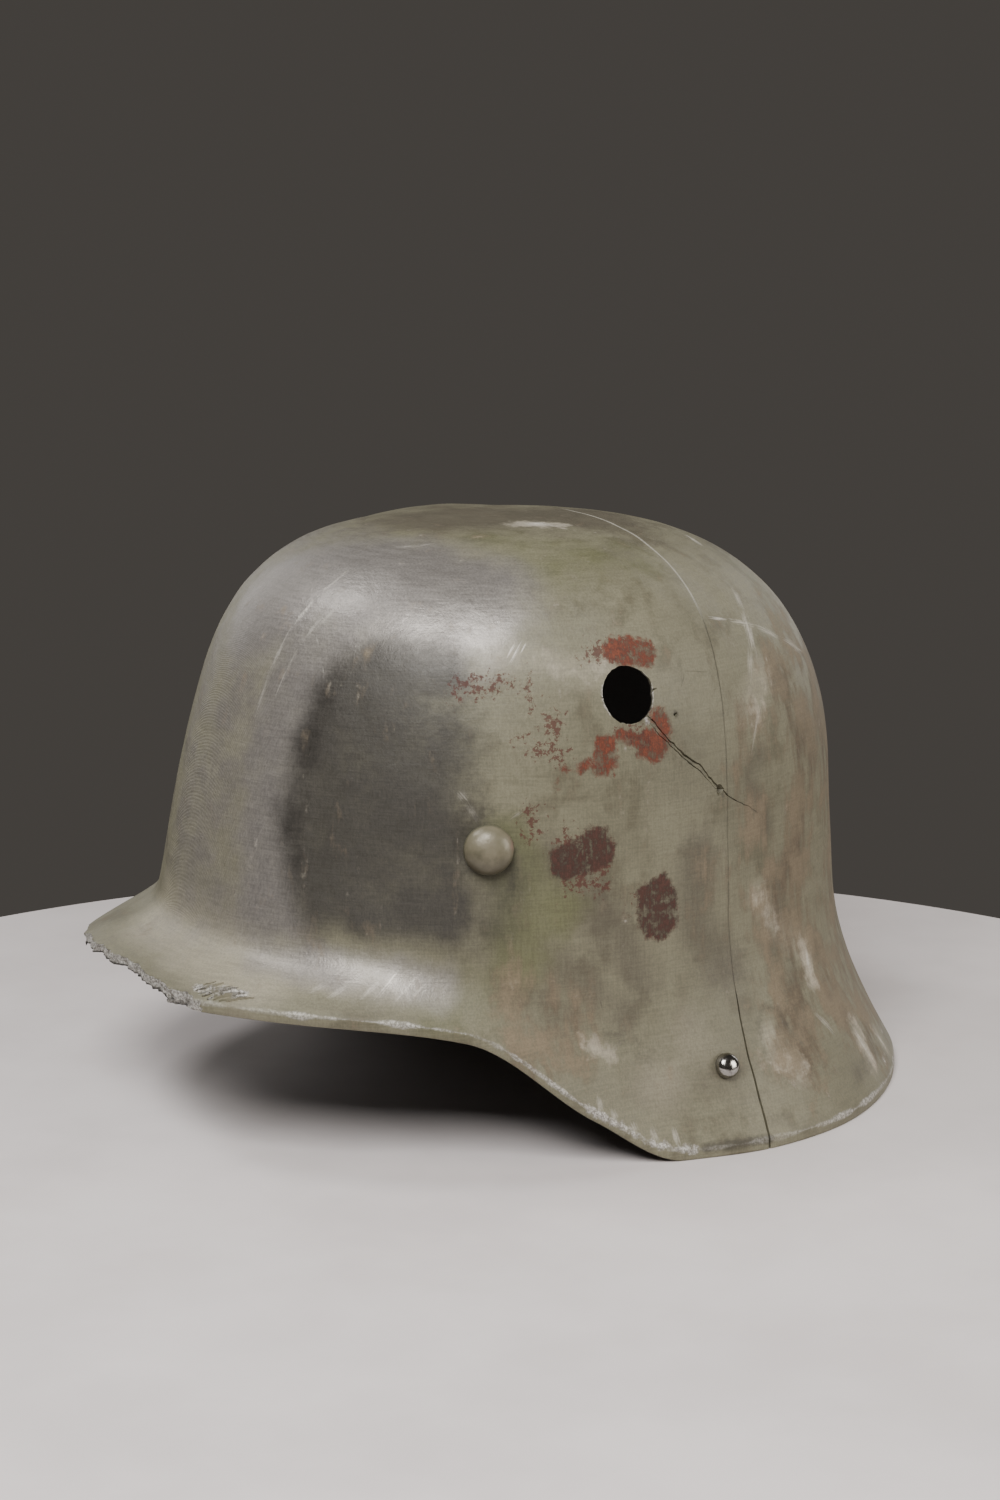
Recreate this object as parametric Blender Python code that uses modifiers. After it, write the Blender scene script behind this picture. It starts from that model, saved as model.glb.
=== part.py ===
"""A steel helmet with a peak, ear skirts and a neck guard, worn, pierced and broken at the peak.

Metres, +Z up. The peak points along -Y and the wearer's left is +X. The helmet stands on the flat
underside of its rim, with its origin under the middle of its bounding box.
Heights below are counted from the brow, where the dome's wall meets the brim, and azimuths in
degrees from the front, 90 at the wearer's left and 180 at the nape.
"""

import math
from collections import namedtuple

import bmesh
import bpy
from mathutils import Vector
from mathutils.bvhtree import BVHTree

# Driving dimensions of the shell
DOME_LENGTH = 0.240
DOME_WIDTH = 0.202
DOME_RISE = 0.120
BRIM_REACH = 0.040
SKIRT_DROP = 0.068
RIM_BAND = 0.0034
WALL = 0.0032

# The joint of the two shell parts, a plane across the helmet behind the crown
SEAM_SETBACK = 0.028
SEAM_GAP = 0.0003

# Clearance of a rivet or lug to the wall that it sits on and passes through
SEAT_GAP = 0.0003

# The vent lug at each temple
LUG_DIAMETER = 0.0156
LUG_HEIGHT = 0.0054
LUG_SHANK_DIAMETER = 0.0070
LUG_TAIL_DIAMETER = 0.0110
LUG_TAIL_THICKNESS = 0.0016
LUG_AZIMUTH = 58.0
LUG_RISE_SHARE = 0.245

# The polished rivet of the chin strap at each skirt
RIVET_DIAMETER = 0.0082
RIVET_HEIGHT = 0.0034
RIVET_SHANK_DIAMETER = 0.0036
RIVET_TAIL_DIAMETER = 0.0060
RIVET_TAIL_THICKNESS = 0.0012
RIVET_AZIMUTH = 99.5
RIVET_DROP_SHARE = 0.665

# The hole shot through the left side
HOLE_DIAMETER = 0.0178
HOLE_AZIMUTH = 84.7
HOLE_RISE_SHARE = 0.624

# Share of the dome's rise that is straight wall
STRAIGHT_SHARE = 0.21

# How the section changes round the helmet, one row for each azimuth on the left half.
# roundness: exponent of the dome's rounded corner, higher is squarer
# lean: how far the wall leans in for each metre of height
# reach: how far the rim stands out, as a share of BRIM_REACH
# drop: how far the rim hangs below the brow, as a share of SKIRT_DROP
# start, finish: how long the flare keeps the wall's and the rim's direction, as shares of its chord
# slope: the flare's slope at the rim in degrees below level
Section = namedtuple("Section", "azimuth roundness lean reach drop start slope finish")
SECTIONS = (
    Section(0, 3.90, 0.215, 0.80, 0.24, 0.35, 28, 0.50),
    Section(30, 3.80, 0.190, 0.50, 0.27, 0.35, 36, 0.50),
    Section(55, 3.40, 0.130, 0.26, 0.37, 0.35, 48, 0.50),
    Section(75, 3.45, 0.070, 0.30, 0.77, 0.40, 66, 0.45),
    Section(90, 3.45, 0.025, 0.43, 1.00, 0.40, 66, 0.45),
    Section(105, 3.15, 0.033, 0.62, 1.00, 0.35, 64, 0.45),
    Section(120, 2.85, 0.040, 0.69, 1.00, 0.35, 62, 0.45),
    Section(150, 2.80, 0.055, 0.59, 1.00, 0.35, 62, 0.45),
    Section(180, 2.80, 0.060, 0.50, 1.00, 0.35, 62, 0.45),
)

# The bite broken out of the peak: how much of the brim's reach is left at each azimuth
BreakPoint = namedtuple("BreakPoint", "azimuth kept")
PEAK_BREAK = (
    BreakPoint(-23.0, 1.06),
    BreakPoint(-19.0, 0.95),
    BreakPoint(-14.5, 0.91),
    BreakPoint(-12.0, 0.83),
    BreakPoint(-7.5, 0.81),
    BreakPoint(-4.5, 0.74),
    BreakPoint(0.0, 0.745),
    BreakPoint(2.5, 0.71),
    BreakPoint(6.5, 0.745),
    BreakPoint(9.0, 0.82),
    BreakPoint(11.5, 0.83),
    BreakPoint(14.0, 0.92),
    BreakPoint(17.0, 0.93),
    BreakPoint(20.5, 1.06),
)

# Radius at each corner of the shot hole, as a share of its mean radius, from the front going up
HOLE_CORNERS = (0.94, 0.97, 1.04, 1.07, 1.01, 0.99, 1.00, 0.93, 0.98, 1.00, 1.03, 1.02, 0.97, 0.93)

# Mesh steps
COLUMNS = 48
DOME_STEPS = 11
WALL_STEPS = 2
FLARE_STEPS = 6
TURNED_STEPS = 20
CAP_STEPS = 5

# Cutters reach this far past what they cut
OVERCUT = 0.010

# Points closer than this are one point
MERGE_DISTANCE = 0.00001


def monotone_cubic(places, values, place):
    """Value at a place on a smooth curve through the values that never overshoots them."""
    gaps = [b - a for a, b in zip(places, places[1:])]
    rates = [(b - a) / gap for a, b, gap in zip(values, values[1:], gaps)]
    slopes = [0.0] * len(places)
    for i in range(1, len(places) - 1):
        before, after = rates[i - 1], rates[i]
        if before * after > 0.0:
            near = 2.0 * gaps[i] + gaps[i - 1]
            far = gaps[i] + 2.0 * gaps[i - 1]
            slopes[i] = (near + far) / (near / before + far / after)
    span = 0
    while span < len(gaps) - 1 and place > places[span + 1]:
        span += 1
    gap = gaps[span]
    t = (place - places[span]) / gap
    return (
        (2 * t**3 - 3 * t**2 + 1) * values[span]
        + (t**3 - 2 * t**2 + t) * gap * slopes[span]
        + (-2 * t**3 + 3 * t**2) * values[span + 1]
        + (t**3 - t**2) * gap * slopes[span + 1]
    )


def section_at(azimuth):
    """The section's row at any azimuth, smoothly between the rows of the table."""
    turn = abs((azimuth + 180.0) % 360.0 - 180.0)
    places = [row.azimuth for row in SECTIONS]
    columns = list(zip(*SECTIONS))[1:]
    return Section(turn, *(monotone_cubic(places, column, turn) for column in columns))


def plan_radius(azimuth):
    """Radius of the dome's oval at the brow."""
    turn = math.radians(azimuth)
    return 1.0 / math.hypot(2.0 * math.cos(turn) / DOME_LENGTH, 2.0 * math.sin(turn) / DOME_WIDTH)


def rim_radius(azimuth, kept=1.0):
    """Radius of the rim, or of a line that keeps only a share of the brim's reach."""
    return plan_radius(azimuth) + kept * section_at(azimuth).reach * BRIM_REACH


def dome_point(azimuth, angle):
    """Radius and height on the dome at an angle from the crown, a right angle where the wall starts."""
    row = section_at(azimuth)
    across, up = math.sin(angle), math.cos(angle)
    scale = (across**row.roundness + up**row.roundness) ** (-1.0 / row.roundness)
    height = DOME_RISE * (STRAIGHT_SHARE + (1.0 - STRAIGHT_SHARE) * up * scale)
    inset = row.lean * DOME_RISE
    radius = (plan_radius(azimuth) - inset) * across * scale + row.lean * (DOME_RISE - height)
    return radius, height


def wall_point(azimuth, height):
    """Radius and height on the straight wall between dome and brow."""
    return plan_radius(azimuth) - section_at(azimuth).lean * height, height


def flare_point(azimuth, t):
    """Radius and height on the brim's flare, a cubic curve from the brow to the rim."""
    row = section_at(azimuth)
    start = Vector((plan_radius(azimuth), 0.0))
    end = start + Vector((row.reach * BRIM_REACH, -row.drop * SKIRT_DROP))
    chord = (end - start).length
    slope = math.radians(row.slope)
    leave = start + Vector((row.lean, -1.0)).normalized() * row.start * chord
    arrive = end - Vector((math.cos(slope), -math.sin(slope))) * row.finish * chord
    s = 1.0 - t
    point = s**3 * start + 3 * s * s * t * leave + 3 * s * t * t * arrive + t**3 * end
    return point.x, point.y


def profile(azimuth):
    """Radius and height down the outer skin, from beside the crown to the foot of the rim's band."""
    points = [dome_point(azimuth, math.pi / 2 * k / DOME_STEPS) for k in range(1, DOME_STEPS + 1)]
    straight = STRAIGHT_SHARE * DOME_RISE
    points += [wall_point(azimuth, straight * (1.0 - k / WALL_STEPS)) for k in range(1, WALL_STEPS + 1)]
    points += [flare_point(azimuth, k / FLARE_STEPS) for k in range(1, FLARE_STEPS + 1)]
    radius, height = points[-1]
    points.append((radius, height - RIM_BAND))
    return points


def at(azimuth, radius, height):
    """A point from its azimuth in degrees, radius and height."""
    turn = math.radians(azimuth)
    return Vector((radius * math.sin(turn), -radius * math.cos(turn), height))


def skin_point(azimuth, height):
    """A point of the outer skin at a height, found along the profile."""
    points = [(0.0, DOME_RISE)] + profile(azimuth)
    for (r0, z0), (r1, z1) in zip(points, points[1:]):
        if z1 <= height:
            t = (z0 - height) / (z0 - z1)
            return at(azimuth, r0 + t * (r1 - r0), height)
    raise ValueError("height is below the rim")


def new_object(name, mesh, collection, parent):
    """An object of a mesh, in its collection and under its parent."""
    thing = bpy.data.objects.new(name, mesh)
    collection.objects.link(thing)
    thing.parent = parent
    return thing


def skin_mesh():
    """The left half of the outer skin, a loft of the profiles, open at the mirror plane and the rim."""
    skin = bmesh.new()
    crown = skin.verts.new((0.0, 0.0, DOME_RISE))
    columns = []
    for c in range(COLUMNS + 1):
        azimuth = 180.0 * c / COLUMNS
        columns.append([skin.verts.new(at(azimuth, *point)) for point in profile(azimuth)])
    for column in (columns[0], columns[-1]):
        for vert in column:
            vert.co.x = 0.0
    for left, right in zip(columns, columns[1:]):
        skin.faces.new((crown, left[0], right[0]))
        for k in range(len(left) - 1):
            skin.faces.new((left[k], left[k + 1], right[k + 1], right[k]))
    bmesh.ops.recalc_face_normals(skin, faces=skin.faces)
    crown.link_faces[0].normal_update()
    if crown.link_faces[0].normal.z < 0.0:
        bmesh.ops.reverse_faces(skin, faces=skin.faces)
    mesh = bpy.data.meshes.new("skin")
    skin.to_mesh(mesh)
    skin.free()
    mesh.shade_smooth()
    return mesh


def add_wall(shell):
    """Mirrors the half skin and gives it its wall, grown inwards."""
    mirror = shell.modifiers.new("mirror", "MIRROR")
    mirror.use_axis = (True, False, False)
    mirror.merge_threshold = MERGE_DISTANCE
    mirror.use_clip = True
    wall = shell.modifiers.new("wall", "SOLIDIFY")
    wall.thickness = WALL
    wall.offset = -1.0
    wall.use_even_offset = True
    wall.use_quality_normals = True


def cut(thing, cutter):
    """Takes a cutter out of an object."""
    modifier = thing.modifiers.new(cutter.name, "BOOLEAN")
    modifier.operation = "DIFFERENCE"
    modifier.solver = "EXACT"
    modifier.object = cutter


def as_cutter(thing):
    """Marks an object as a guide that isn't part of the model."""
    thing.hide_render = True
    thing.display_type = "WIRE"
    return thing


def seam_cutter(name, low_y, high_y, collection, parent):
    """A block that covers the helmet between two planes across it."""
    box = bmesh.new()
    bmesh.ops.create_cube(box, size=1.0)
    bmesh.ops.scale(box, verts=box.verts, vec=(2.0 * DOME_LENGTH, high_y - low_y, 4.0 * DOME_LENGTH))
    bmesh.ops.translate(box, verts=box.verts, vec=(0.0, (low_y + high_y) / 2.0, 0.0))
    mesh = bpy.data.meshes.new(name)
    box.to_mesh(mesh)
    box.free()
    return as_cutter(new_object(name, mesh, collection, parent))


def drill(name, radius, centre, axis, corners, collection, parent):
    """A round bar through the wall, its corners at the given shares of the radius."""
    bar = bmesh.new()
    depth = 2.0 * (WALL + OVERCUT)
    bmesh.ops.create_cone(
        bar, cap_ends=True, segments=len(corners), radius1=radius, radius2=radius, depth=depth
    )
    for vert in bar.verts:
        turn = math.atan2(vert.co.y, vert.co.x) / math.tau
        share = corners[round(turn * len(corners)) % len(corners)]
        vert.co.x *= share
        vert.co.y *= share
    mesh = bpy.data.meshes.new(name)
    bar.to_mesh(mesh)
    bar.free()
    thing = as_cutter(new_object(name, mesh, collection, parent))
    thing.location = centre
    thing.rotation_euler = axis.to_track_quat("Z", "Y").to_euler()
    return thing


def break_cutter(collection, parent):
    """The bite out of the peak: its outline in plan, filled and extruded through the brim."""
    edge = [at(p.azimuth, rim_radius(p.azimuth, p.kept), 0.0) for p in PEAK_BREAK]
    first, last = PEAK_BREAK[0].azimuth, PEAK_BREAK[-1].azimuth
    outside = BRIM_REACH
    for azimuth in (last, (first + last) / 2.0, first):
        edge.append(at(azimuth, rim_radius(azimuth) + outside, 0.0))
    curve = bpy.data.curves.new("break_outline", "CURVE")
    curve.dimensions = "2D"
    curve.fill_mode = "BOTH"
    curve.extrude = (SKIRT_DROP + RIM_BAND) / 2.0
    spline = curve.splines.new("POLY")
    spline.points.add(len(edge) - 1)
    for point, place in zip(spline.points, edge):
        point.co = (place.x, place.y, 0.0, 1.0)
    spline.use_cyclic_u = True
    outline = bpy.data.objects.new("break_outline", curve)
    collection.objects.link(outline)
    graph = bpy.context.evaluated_depsgraph_get()
    mesh = bpy.data.meshes.new_from_object(outline.evaluated_get(graph))
    bpy.data.objects.remove(outline)
    solid = bmesh.new()
    solid.from_mesh(mesh)
    bmesh.ops.remove_doubles(solid, verts=solid.verts, dist=MERGE_DISTANCE)
    bmesh.ops.recalc_face_normals(solid, faces=solid.faces)
    solid.to_mesh(mesh)
    solid.free()
    thing = as_cutter(new_object("peak_break", mesh, collection, parent))
    thing.location.z = -(SKIRT_DROP + RIM_BAND) / 2.0
    return thing


def surface_frame(tree, azimuth, height):
    """Place and outward direction on the outer skin."""
    guess = skin_point(azimuth, height)
    place, normal, _, _ = tree.find_nearest(guess)
    return place, normal


def seat_height(tree, place, axis, radius):
    """How far the wall under a round head rises above the middle of its seat."""
    side = axis.orthogonal().normalized()
    other = axis.cross(side)
    reach = WALL
    highest = 0.0
    for k in range(TURNED_STEPS):
        turn = math.tau * k / TURNED_STEPS
        start = place + (side * math.cos(turn) + other * math.sin(turn)) * radius + axis * reach
        hit = tree.ray_cast(start, -axis, 2.0 * reach)[0]
        if hit:
            highest = max(highest, reach - (start - hit).length)
    return highest


def turned_pin(name, head, shank_radius, tail, seats, material, collection, parent):
    """A domed head, a shank through the wall and a flat tail inside it, turned about one axis.

    head and tail are (radius, height); seats are the heights of the head's underside and of the
    tail's face, with the outer skin at nought.
    """
    head_radius, head_height = head
    tail_radius, tail_height = tail
    under_head, over_tail = seats
    points = []
    for k in range(CAP_STEPS + 1):
        angle = math.pi / 2 * (1.0 - k / CAP_STEPS)
        points.append((head_radius * math.cos(angle), under_head + head_height * math.sin(angle)))
    points[0] = (0.0, under_head + head_height)
    points += [
        (shank_radius, under_head),
        (shank_radius, over_tail),
        (tail_radius, over_tail),
        (tail_radius, over_tail - tail_height),
        (0.0, over_tail - tail_height),
    ]
    mesh = bpy.data.meshes.new(name)
    chain = [(i, i + 1) for i in range(len(points) - 1)]
    mesh.from_pydata([(x, 0.0, z) for x, z in points], chain, [])
    mesh.materials.append(material)
    thing = new_object(name, mesh, collection, parent)
    turn = thing.modifiers.new("turn", "SCREW")
    turn.axis = "Z"
    turn.angle = math.tau
    turn.steps = TURNED_STEPS
    turn.render_steps = TURNED_STEPS
    turn.use_merge_vertices = True
    turn.merge_threshold = MERGE_DISTANCE
    turn.use_smooth_shade = True
    return thing


def place_pair(name, size, azimuth, height, shells, tree, material, parts, cutters, parent):
    """A turned pin on the left side and its copy on the right, with their holes in the shell."""
    place, normal = surface_frame(tree, azimuth, height)
    inner = place - normal * WALL
    under_head = seat_height(tree, place, normal, size["head"] / 2.0) + SEAT_GAP
    inner_rise = seat_height(tree, inner, -normal, size["tail"] / 2.0)
    seats = (under_head, -(WALL + inner_rise + SEAT_GAP))
    for side, sign in (("left", 1.0), ("right", -1.0)):
        centre = Vector((place.x * sign, place.y, place.z))
        axis = Vector((normal.x * sign, normal.y, normal.z))
        pin = turned_pin(
            name + "_" + side,
            (size["head"] / 2.0, size["height"]),
            size["shank"] / 2.0,
            (size["tail"] / 2.0, size["tail_thickness"]),
            seats,
            material,
            parts,
            parent,
        )
        pin.location = centre
        pin.rotation_euler = axis.to_track_quat("Z", "Y").to_euler()
        bore = size["shank"] / 2.0 + SEAT_GAP
        hole = drill(name + "_hole_" + side, bore, centre, axis, (1.0,) * TURNED_STEPS, cutters, parent)
        for shell in shells:
            cut(shell, hole)


def plain_material(name, colour, roughness, metallic):
    """A plain surface for one sub-part."""
    material = bpy.data.materials.new(name)
    material.use_nodes = True
    surface = material.node_tree.nodes["Principled BSDF"]
    surface.inputs["Base Color"].default_value = (*colour, 1.0)
    surface.inputs["Roughness"].default_value = roughness
    surface.inputs["Metallic"].default_value = metallic
    return material


def corners_of(things):
    """Lowest and highest corner of what the objects evaluate to."""
    graph = bpy.context.evaluated_depsgraph_get()
    low = Vector((math.inf,) * 3)
    high = Vector((-math.inf,) * 3)
    for thing in things:
        solid = thing.evaluated_get(graph)
        mesh = solid.to_mesh()
        for vert in mesh.vertices:
            place = solid.matrix_world @ vert.co
            low = Vector(map(min, low, place))
            high = Vector(map(max, high, place))
        solid.to_mesh_clear()
    return low, high


def build_helmet():
    """Models every piece and stands the helmet on the ground."""
    for thing in list(bpy.data.objects):
        bpy.data.objects.remove(thing)
    parts = bpy.data.collections.new("helmet")
    cutters = bpy.data.collections.new("cutters")
    for collection in (parts, cutters):
        bpy.context.scene.collection.children.link(collection)
    stand = bpy.data.objects.new("helmet_origin", None)
    parts.objects.link(stand)

    skin = skin_mesh()
    front = new_object("front_shell", skin, parts, stand)
    rear = new_object("rear_shell", skin.copy(), parts, stand)
    front.data.materials.append(plain_material("olive_paint_front", (0.155, 0.155, 0.115), 0.48, 0.35))
    rear.data.materials.append(plain_material("olive_paint_rear", (0.150, 0.135, 0.100), 0.58, 0.25))
    for shell in (front, rear):
        add_wall(shell)
    bpy.context.view_layer.update()
    tree = BVHTree.FromObject(front, bpy.context.evaluated_depsgraph_get())

    half_gap = SEAM_GAP / 2.0
    far = 2.0 * DOME_LENGTH
    cut(front, seam_cutter("behind_seam", SEAM_SETBACK - half_gap, far, cutters, stand))
    cut(rear, seam_cutter("ahead_of_seam", -far, SEAM_SETBACK + half_gap, cutters, stand))
    cut(front, break_cutter(cutters, stand))
    centre, axis = surface_frame(tree, HOLE_AZIMUTH, HOLE_RISE_SHARE * DOME_RISE)
    cut(front, drill("shot_hole", HOLE_DIAMETER / 2.0, centre, axis, HOLE_CORNERS, cutters, stand))

    lug = {
        "head": LUG_DIAMETER,
        "height": LUG_HEIGHT,
        "shank": LUG_SHANK_DIAMETER,
        "tail": LUG_TAIL_DIAMETER,
        "tail_thickness": LUG_TAIL_THICKNESS,
    }
    lug_paint = plain_material("lug_paint", (0.205, 0.195, 0.140), 0.42, 0.30)
    lug_rise = LUG_RISE_SHARE * DOME_RISE
    place_pair("vent_lug", lug, LUG_AZIMUTH, lug_rise, (front,), tree, lug_paint, parts, cutters, stand)
    rivet = {
        "head": RIVET_DIAMETER,
        "height": RIVET_HEIGHT,
        "shank": RIVET_SHANK_DIAMETER,
        "tail": RIVET_TAIL_DIAMETER,
        "tail_thickness": RIVET_TAIL_THICKNESS,
    }
    polished = plain_material("polished_steel", (0.42, 0.42, 0.42), 0.14, 1.0)
    rivet_fall = -RIVET_DROP_SHARE * SKIRT_DROP
    both = (front, rear)
    place_pair("strap_rivet", rivet, RIVET_AZIMUTH, rivet_fall, both, tree, polished, parts, cutters, stand)

    bpy.context.view_layer.update()
    low, high = corners_of((front, rear))
    stand.location = (0.0, -(low.y + high.y) / 2.0, -low.z)
    bpy.context.view_layer.update()


build_helmet()
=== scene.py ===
"""The looks of a worn steel helmet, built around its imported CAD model.

Metres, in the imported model's frame: +Z up, the peak along -Y and the wearer's left at +X. Azimuths
are in degrees from the front, 90 at the wearer's left and 180 at the nape, and heights are counted
from the brow. A mark's place on the outer skin is its azimuth and how many millimetres it lies down
the skin from the crown.
"""

import math
from collections import namedtuple

import bmesh
import bpy
import numpy as np
from mathutils import Matrix, Vector
from mathutils.bvhtree import BVHTree


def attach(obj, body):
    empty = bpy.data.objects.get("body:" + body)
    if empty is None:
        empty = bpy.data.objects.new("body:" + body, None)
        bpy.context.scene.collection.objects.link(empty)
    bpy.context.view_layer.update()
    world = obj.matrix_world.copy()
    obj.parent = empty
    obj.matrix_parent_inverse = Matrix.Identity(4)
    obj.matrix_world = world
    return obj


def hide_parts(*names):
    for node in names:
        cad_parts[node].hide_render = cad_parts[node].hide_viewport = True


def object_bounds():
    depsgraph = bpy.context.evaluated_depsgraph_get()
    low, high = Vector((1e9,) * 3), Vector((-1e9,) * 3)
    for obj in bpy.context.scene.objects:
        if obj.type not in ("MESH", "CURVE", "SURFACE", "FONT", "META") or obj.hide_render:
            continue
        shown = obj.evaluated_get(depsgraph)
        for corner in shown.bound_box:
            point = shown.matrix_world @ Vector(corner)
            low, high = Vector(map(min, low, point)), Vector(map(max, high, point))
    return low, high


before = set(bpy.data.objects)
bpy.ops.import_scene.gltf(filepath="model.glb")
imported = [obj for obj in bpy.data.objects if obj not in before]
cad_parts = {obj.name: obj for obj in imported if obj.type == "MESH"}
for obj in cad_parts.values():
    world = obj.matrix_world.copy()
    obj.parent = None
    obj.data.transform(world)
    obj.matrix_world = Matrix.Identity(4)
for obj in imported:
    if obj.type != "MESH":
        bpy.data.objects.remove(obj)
cad_low, cad_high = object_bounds()

MM = 0.001


def table(kind, *rows):
    """Rows of a table as named tuples of one kind."""
    return tuple(kind(*row) for row in rows)


# Driving dimensions of the shell, as in the CAD model
DOME_LENGTH = 0.240
DOME_WIDTH = 0.202
DOME_RISE = 0.120
BRIM_REACH = 0.040
SKIRT_DROP = 0.068
RIM_BAND = 0.0034
WALL = 0.0032
SEAM_SETBACK = 0.028
STRAIGHT_SHARE = 0.21

# How the section changes round the helmet, one row for each azimuth on the left half.
# roundness: exponent of the dome's rounded corner, higher is squarer
# lean: how far the wall leans in for each metre of height
# reach: how far the rim stands out, as a share of BRIM_REACH
# drop: how far the rim hangs below the brow, as a share of SKIRT_DROP
# start, finish: how long the flare keeps the wall's and the rim's direction, as shares of its chord
# slope: the flare's slope at the rim in degrees below level
Section = namedtuple("Section", "azimuth roundness lean reach drop start slope finish")
SECTIONS = table(
    Section,
    (0, 3.90, 0.215, 0.80, 0.24, 0.35, 28, 0.50),
    (30, 3.80, 0.190, 0.50, 0.27, 0.35, 36, 0.50),
    (55, 3.40, 0.130, 0.26, 0.37, 0.35, 48, 0.50),
    (75, 3.45, 0.070, 0.30, 0.77, 0.40, 66, 0.45),
    (90, 3.45, 0.025, 0.43, 1.00, 0.40, 66, 0.45),
    (105, 3.15, 0.033, 0.62, 1.00, 0.35, 64, 0.45),
    (120, 2.85, 0.040, 0.69, 1.00, 0.35, 62, 0.45),
    (150, 2.80, 0.055, 0.59, 1.00, 0.35, 62, 0.45),
    (180, 2.80, 0.060, 0.50, 1.00, 0.35, 62, 0.45),
)

# The bite broken out of the peak: how much of the brim's reach is left at each azimuth
BreakPoint = namedtuple("BreakPoint", "azimuth kept")
PEAK_BREAK = table(
    BreakPoint,
    (-23.0, 1.06),
    (-19.0, 0.95),
    (-14.5, 0.91),
    (-12.0, 0.83),
    (-7.5, 0.81),
    (-4.5, 0.74),
    (0.0, 0.745),
    (2.5, 0.71),
    (6.5, 0.745),
    (9.0, 0.82),
    (11.5, 0.83),
    (14.0, 0.92),
    (17.0, 0.93),
    (20.5, 1.06),
)

# The hole shot through the left side, with each corner's radius as a share of its mean radius
HOLE_RADIUS = 8.9 * MM
HOLE_AZIMUTH = 84.7
HOLE_HEIGHT = 0.624 * DOME_RISE
HOLE_CORNERS = (0.94, 0.97, 1.04, 1.07, 1.01, 0.99, 1.00, 0.93, 0.98, 1.00, 1.03, 1.02, 0.97, 0.93)

# Rows and columns of the fine shell mesh, whose columns stand closest on the side with the marks:
# COLUMN_SPREAD has rows of azimuth and share of the columns
COLUMNS = 520
COLUMN_SPREAD = ((0.0, 0.0), (45.0, 0.10), (125.0, 0.45), (360.0, 1.0))
OUTER_ROWS = 160
INNER_ROWS = 52
PROFILE_SAMPLES = 420
# The last rows of a profile, in which its radius only grows
BRIM_ROWS = 90

# Unevenness as layers of seeded waves: their height in mm, their size in metres and their seed
Wave = namedtuple("Wave", "height size seed")
SKIN_WAVES = table(Wave, (0.26, 0.060, 11), (0.10, 0.021, 12), (0.05, 0.008, 13))
SKIN_DEPTH = 0.9
CHIP_WAVES = table(Wave, (0.34, 0.0050, 31), (0.24, 0.0019, 32), (0.16, 0.0009, 33))
SEAM_WAVES = table(Wave, (0.28, 0.030, 41), (0.10, 0.007, 42))

# Columns and heights of the break's cutter, in mm from the brow
BREAK_COLUMNS = 280
BREAK_HEIGHTS = np.arange(-24.0, 1.0, 0.45) * MM

# Rounded edges of the rim's band
RIM_TOP_ROUND = 0.9 * MM
RIM_FOOT_ROUND = 0.7 * MM

# Marks on the paint: a width in mm and the places (azimuth, mm down from the crown) that it passes
Mark = namedtuple("Mark", "width path")
RUST_MARKS = table(
    Mark,
    (10.0, ((83.6, 102.0), (86.7, 102.6), (89.4, 103.8))),
    (11.5, ((88.4, 132.6), (89.3, 133.2))),
    (5.0, ((82.8, 128.0), (85.8, 131.0))),
    (6.5, ((90.4, 124.0), (91.5, 129.0))),
    (8.5, ((79.6, 131.0), (79.2, 136.0))),
    (3.6, ((78.6, 137.0), (76.6, 134.0), (75.2, 137.0))),
    (2.2, ((75.7, 137.0), (72.6, 136.0), (71.4, 136.8))),
    (3.4, ((70.7, 138.6), (70.4, 140.4))),
    (1.8, ((72.0, 136.4), (70.6, 138.8))),
)
OLD_RUST_MARKS = table(
    Mark,
    (12.0, ((71.8, 164.6), (73.2, 164.0))),
    (11.0, ((77.3, 160.0), (77.7, 163.0))),
    (8.0, ((74.6, 165.5), (76.4, 165.5))),
    (15.0, ((89.4, 181.5), (89.6, 188.0))),
)
SPECKLE_MARKS = table(
    Mark,
    (9.0, ((52.6, 110.0), (56.5, 109.0), (60.0, 108.0))),
    (8.0, ((69.6, 120.0), (69.6, 127.0))),
    (6.0, ((65.3, 108.0), (65.8, 113.0))),
    (7.0, ((65.0, 127.0), (68.3, 130.0), (71.5, 130.5))),
    (9.0, ((73.0, 171.0), (78.1, 172.5))),
    (8.0, ((65.7, 149.0), (65.4, 154.0))),
    (5.0, ((84.8, 179.0), (84.8, 186.0))),
    (9.5, ((79.4, 100.6), (82.0, 101.2), (84.0, 101.5))),
    (9.0, ((87.4, 131.0), (84.6, 127.0))),
    (9.0, ((71.6, 158.0), (77.6, 168.0))),
)

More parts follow.
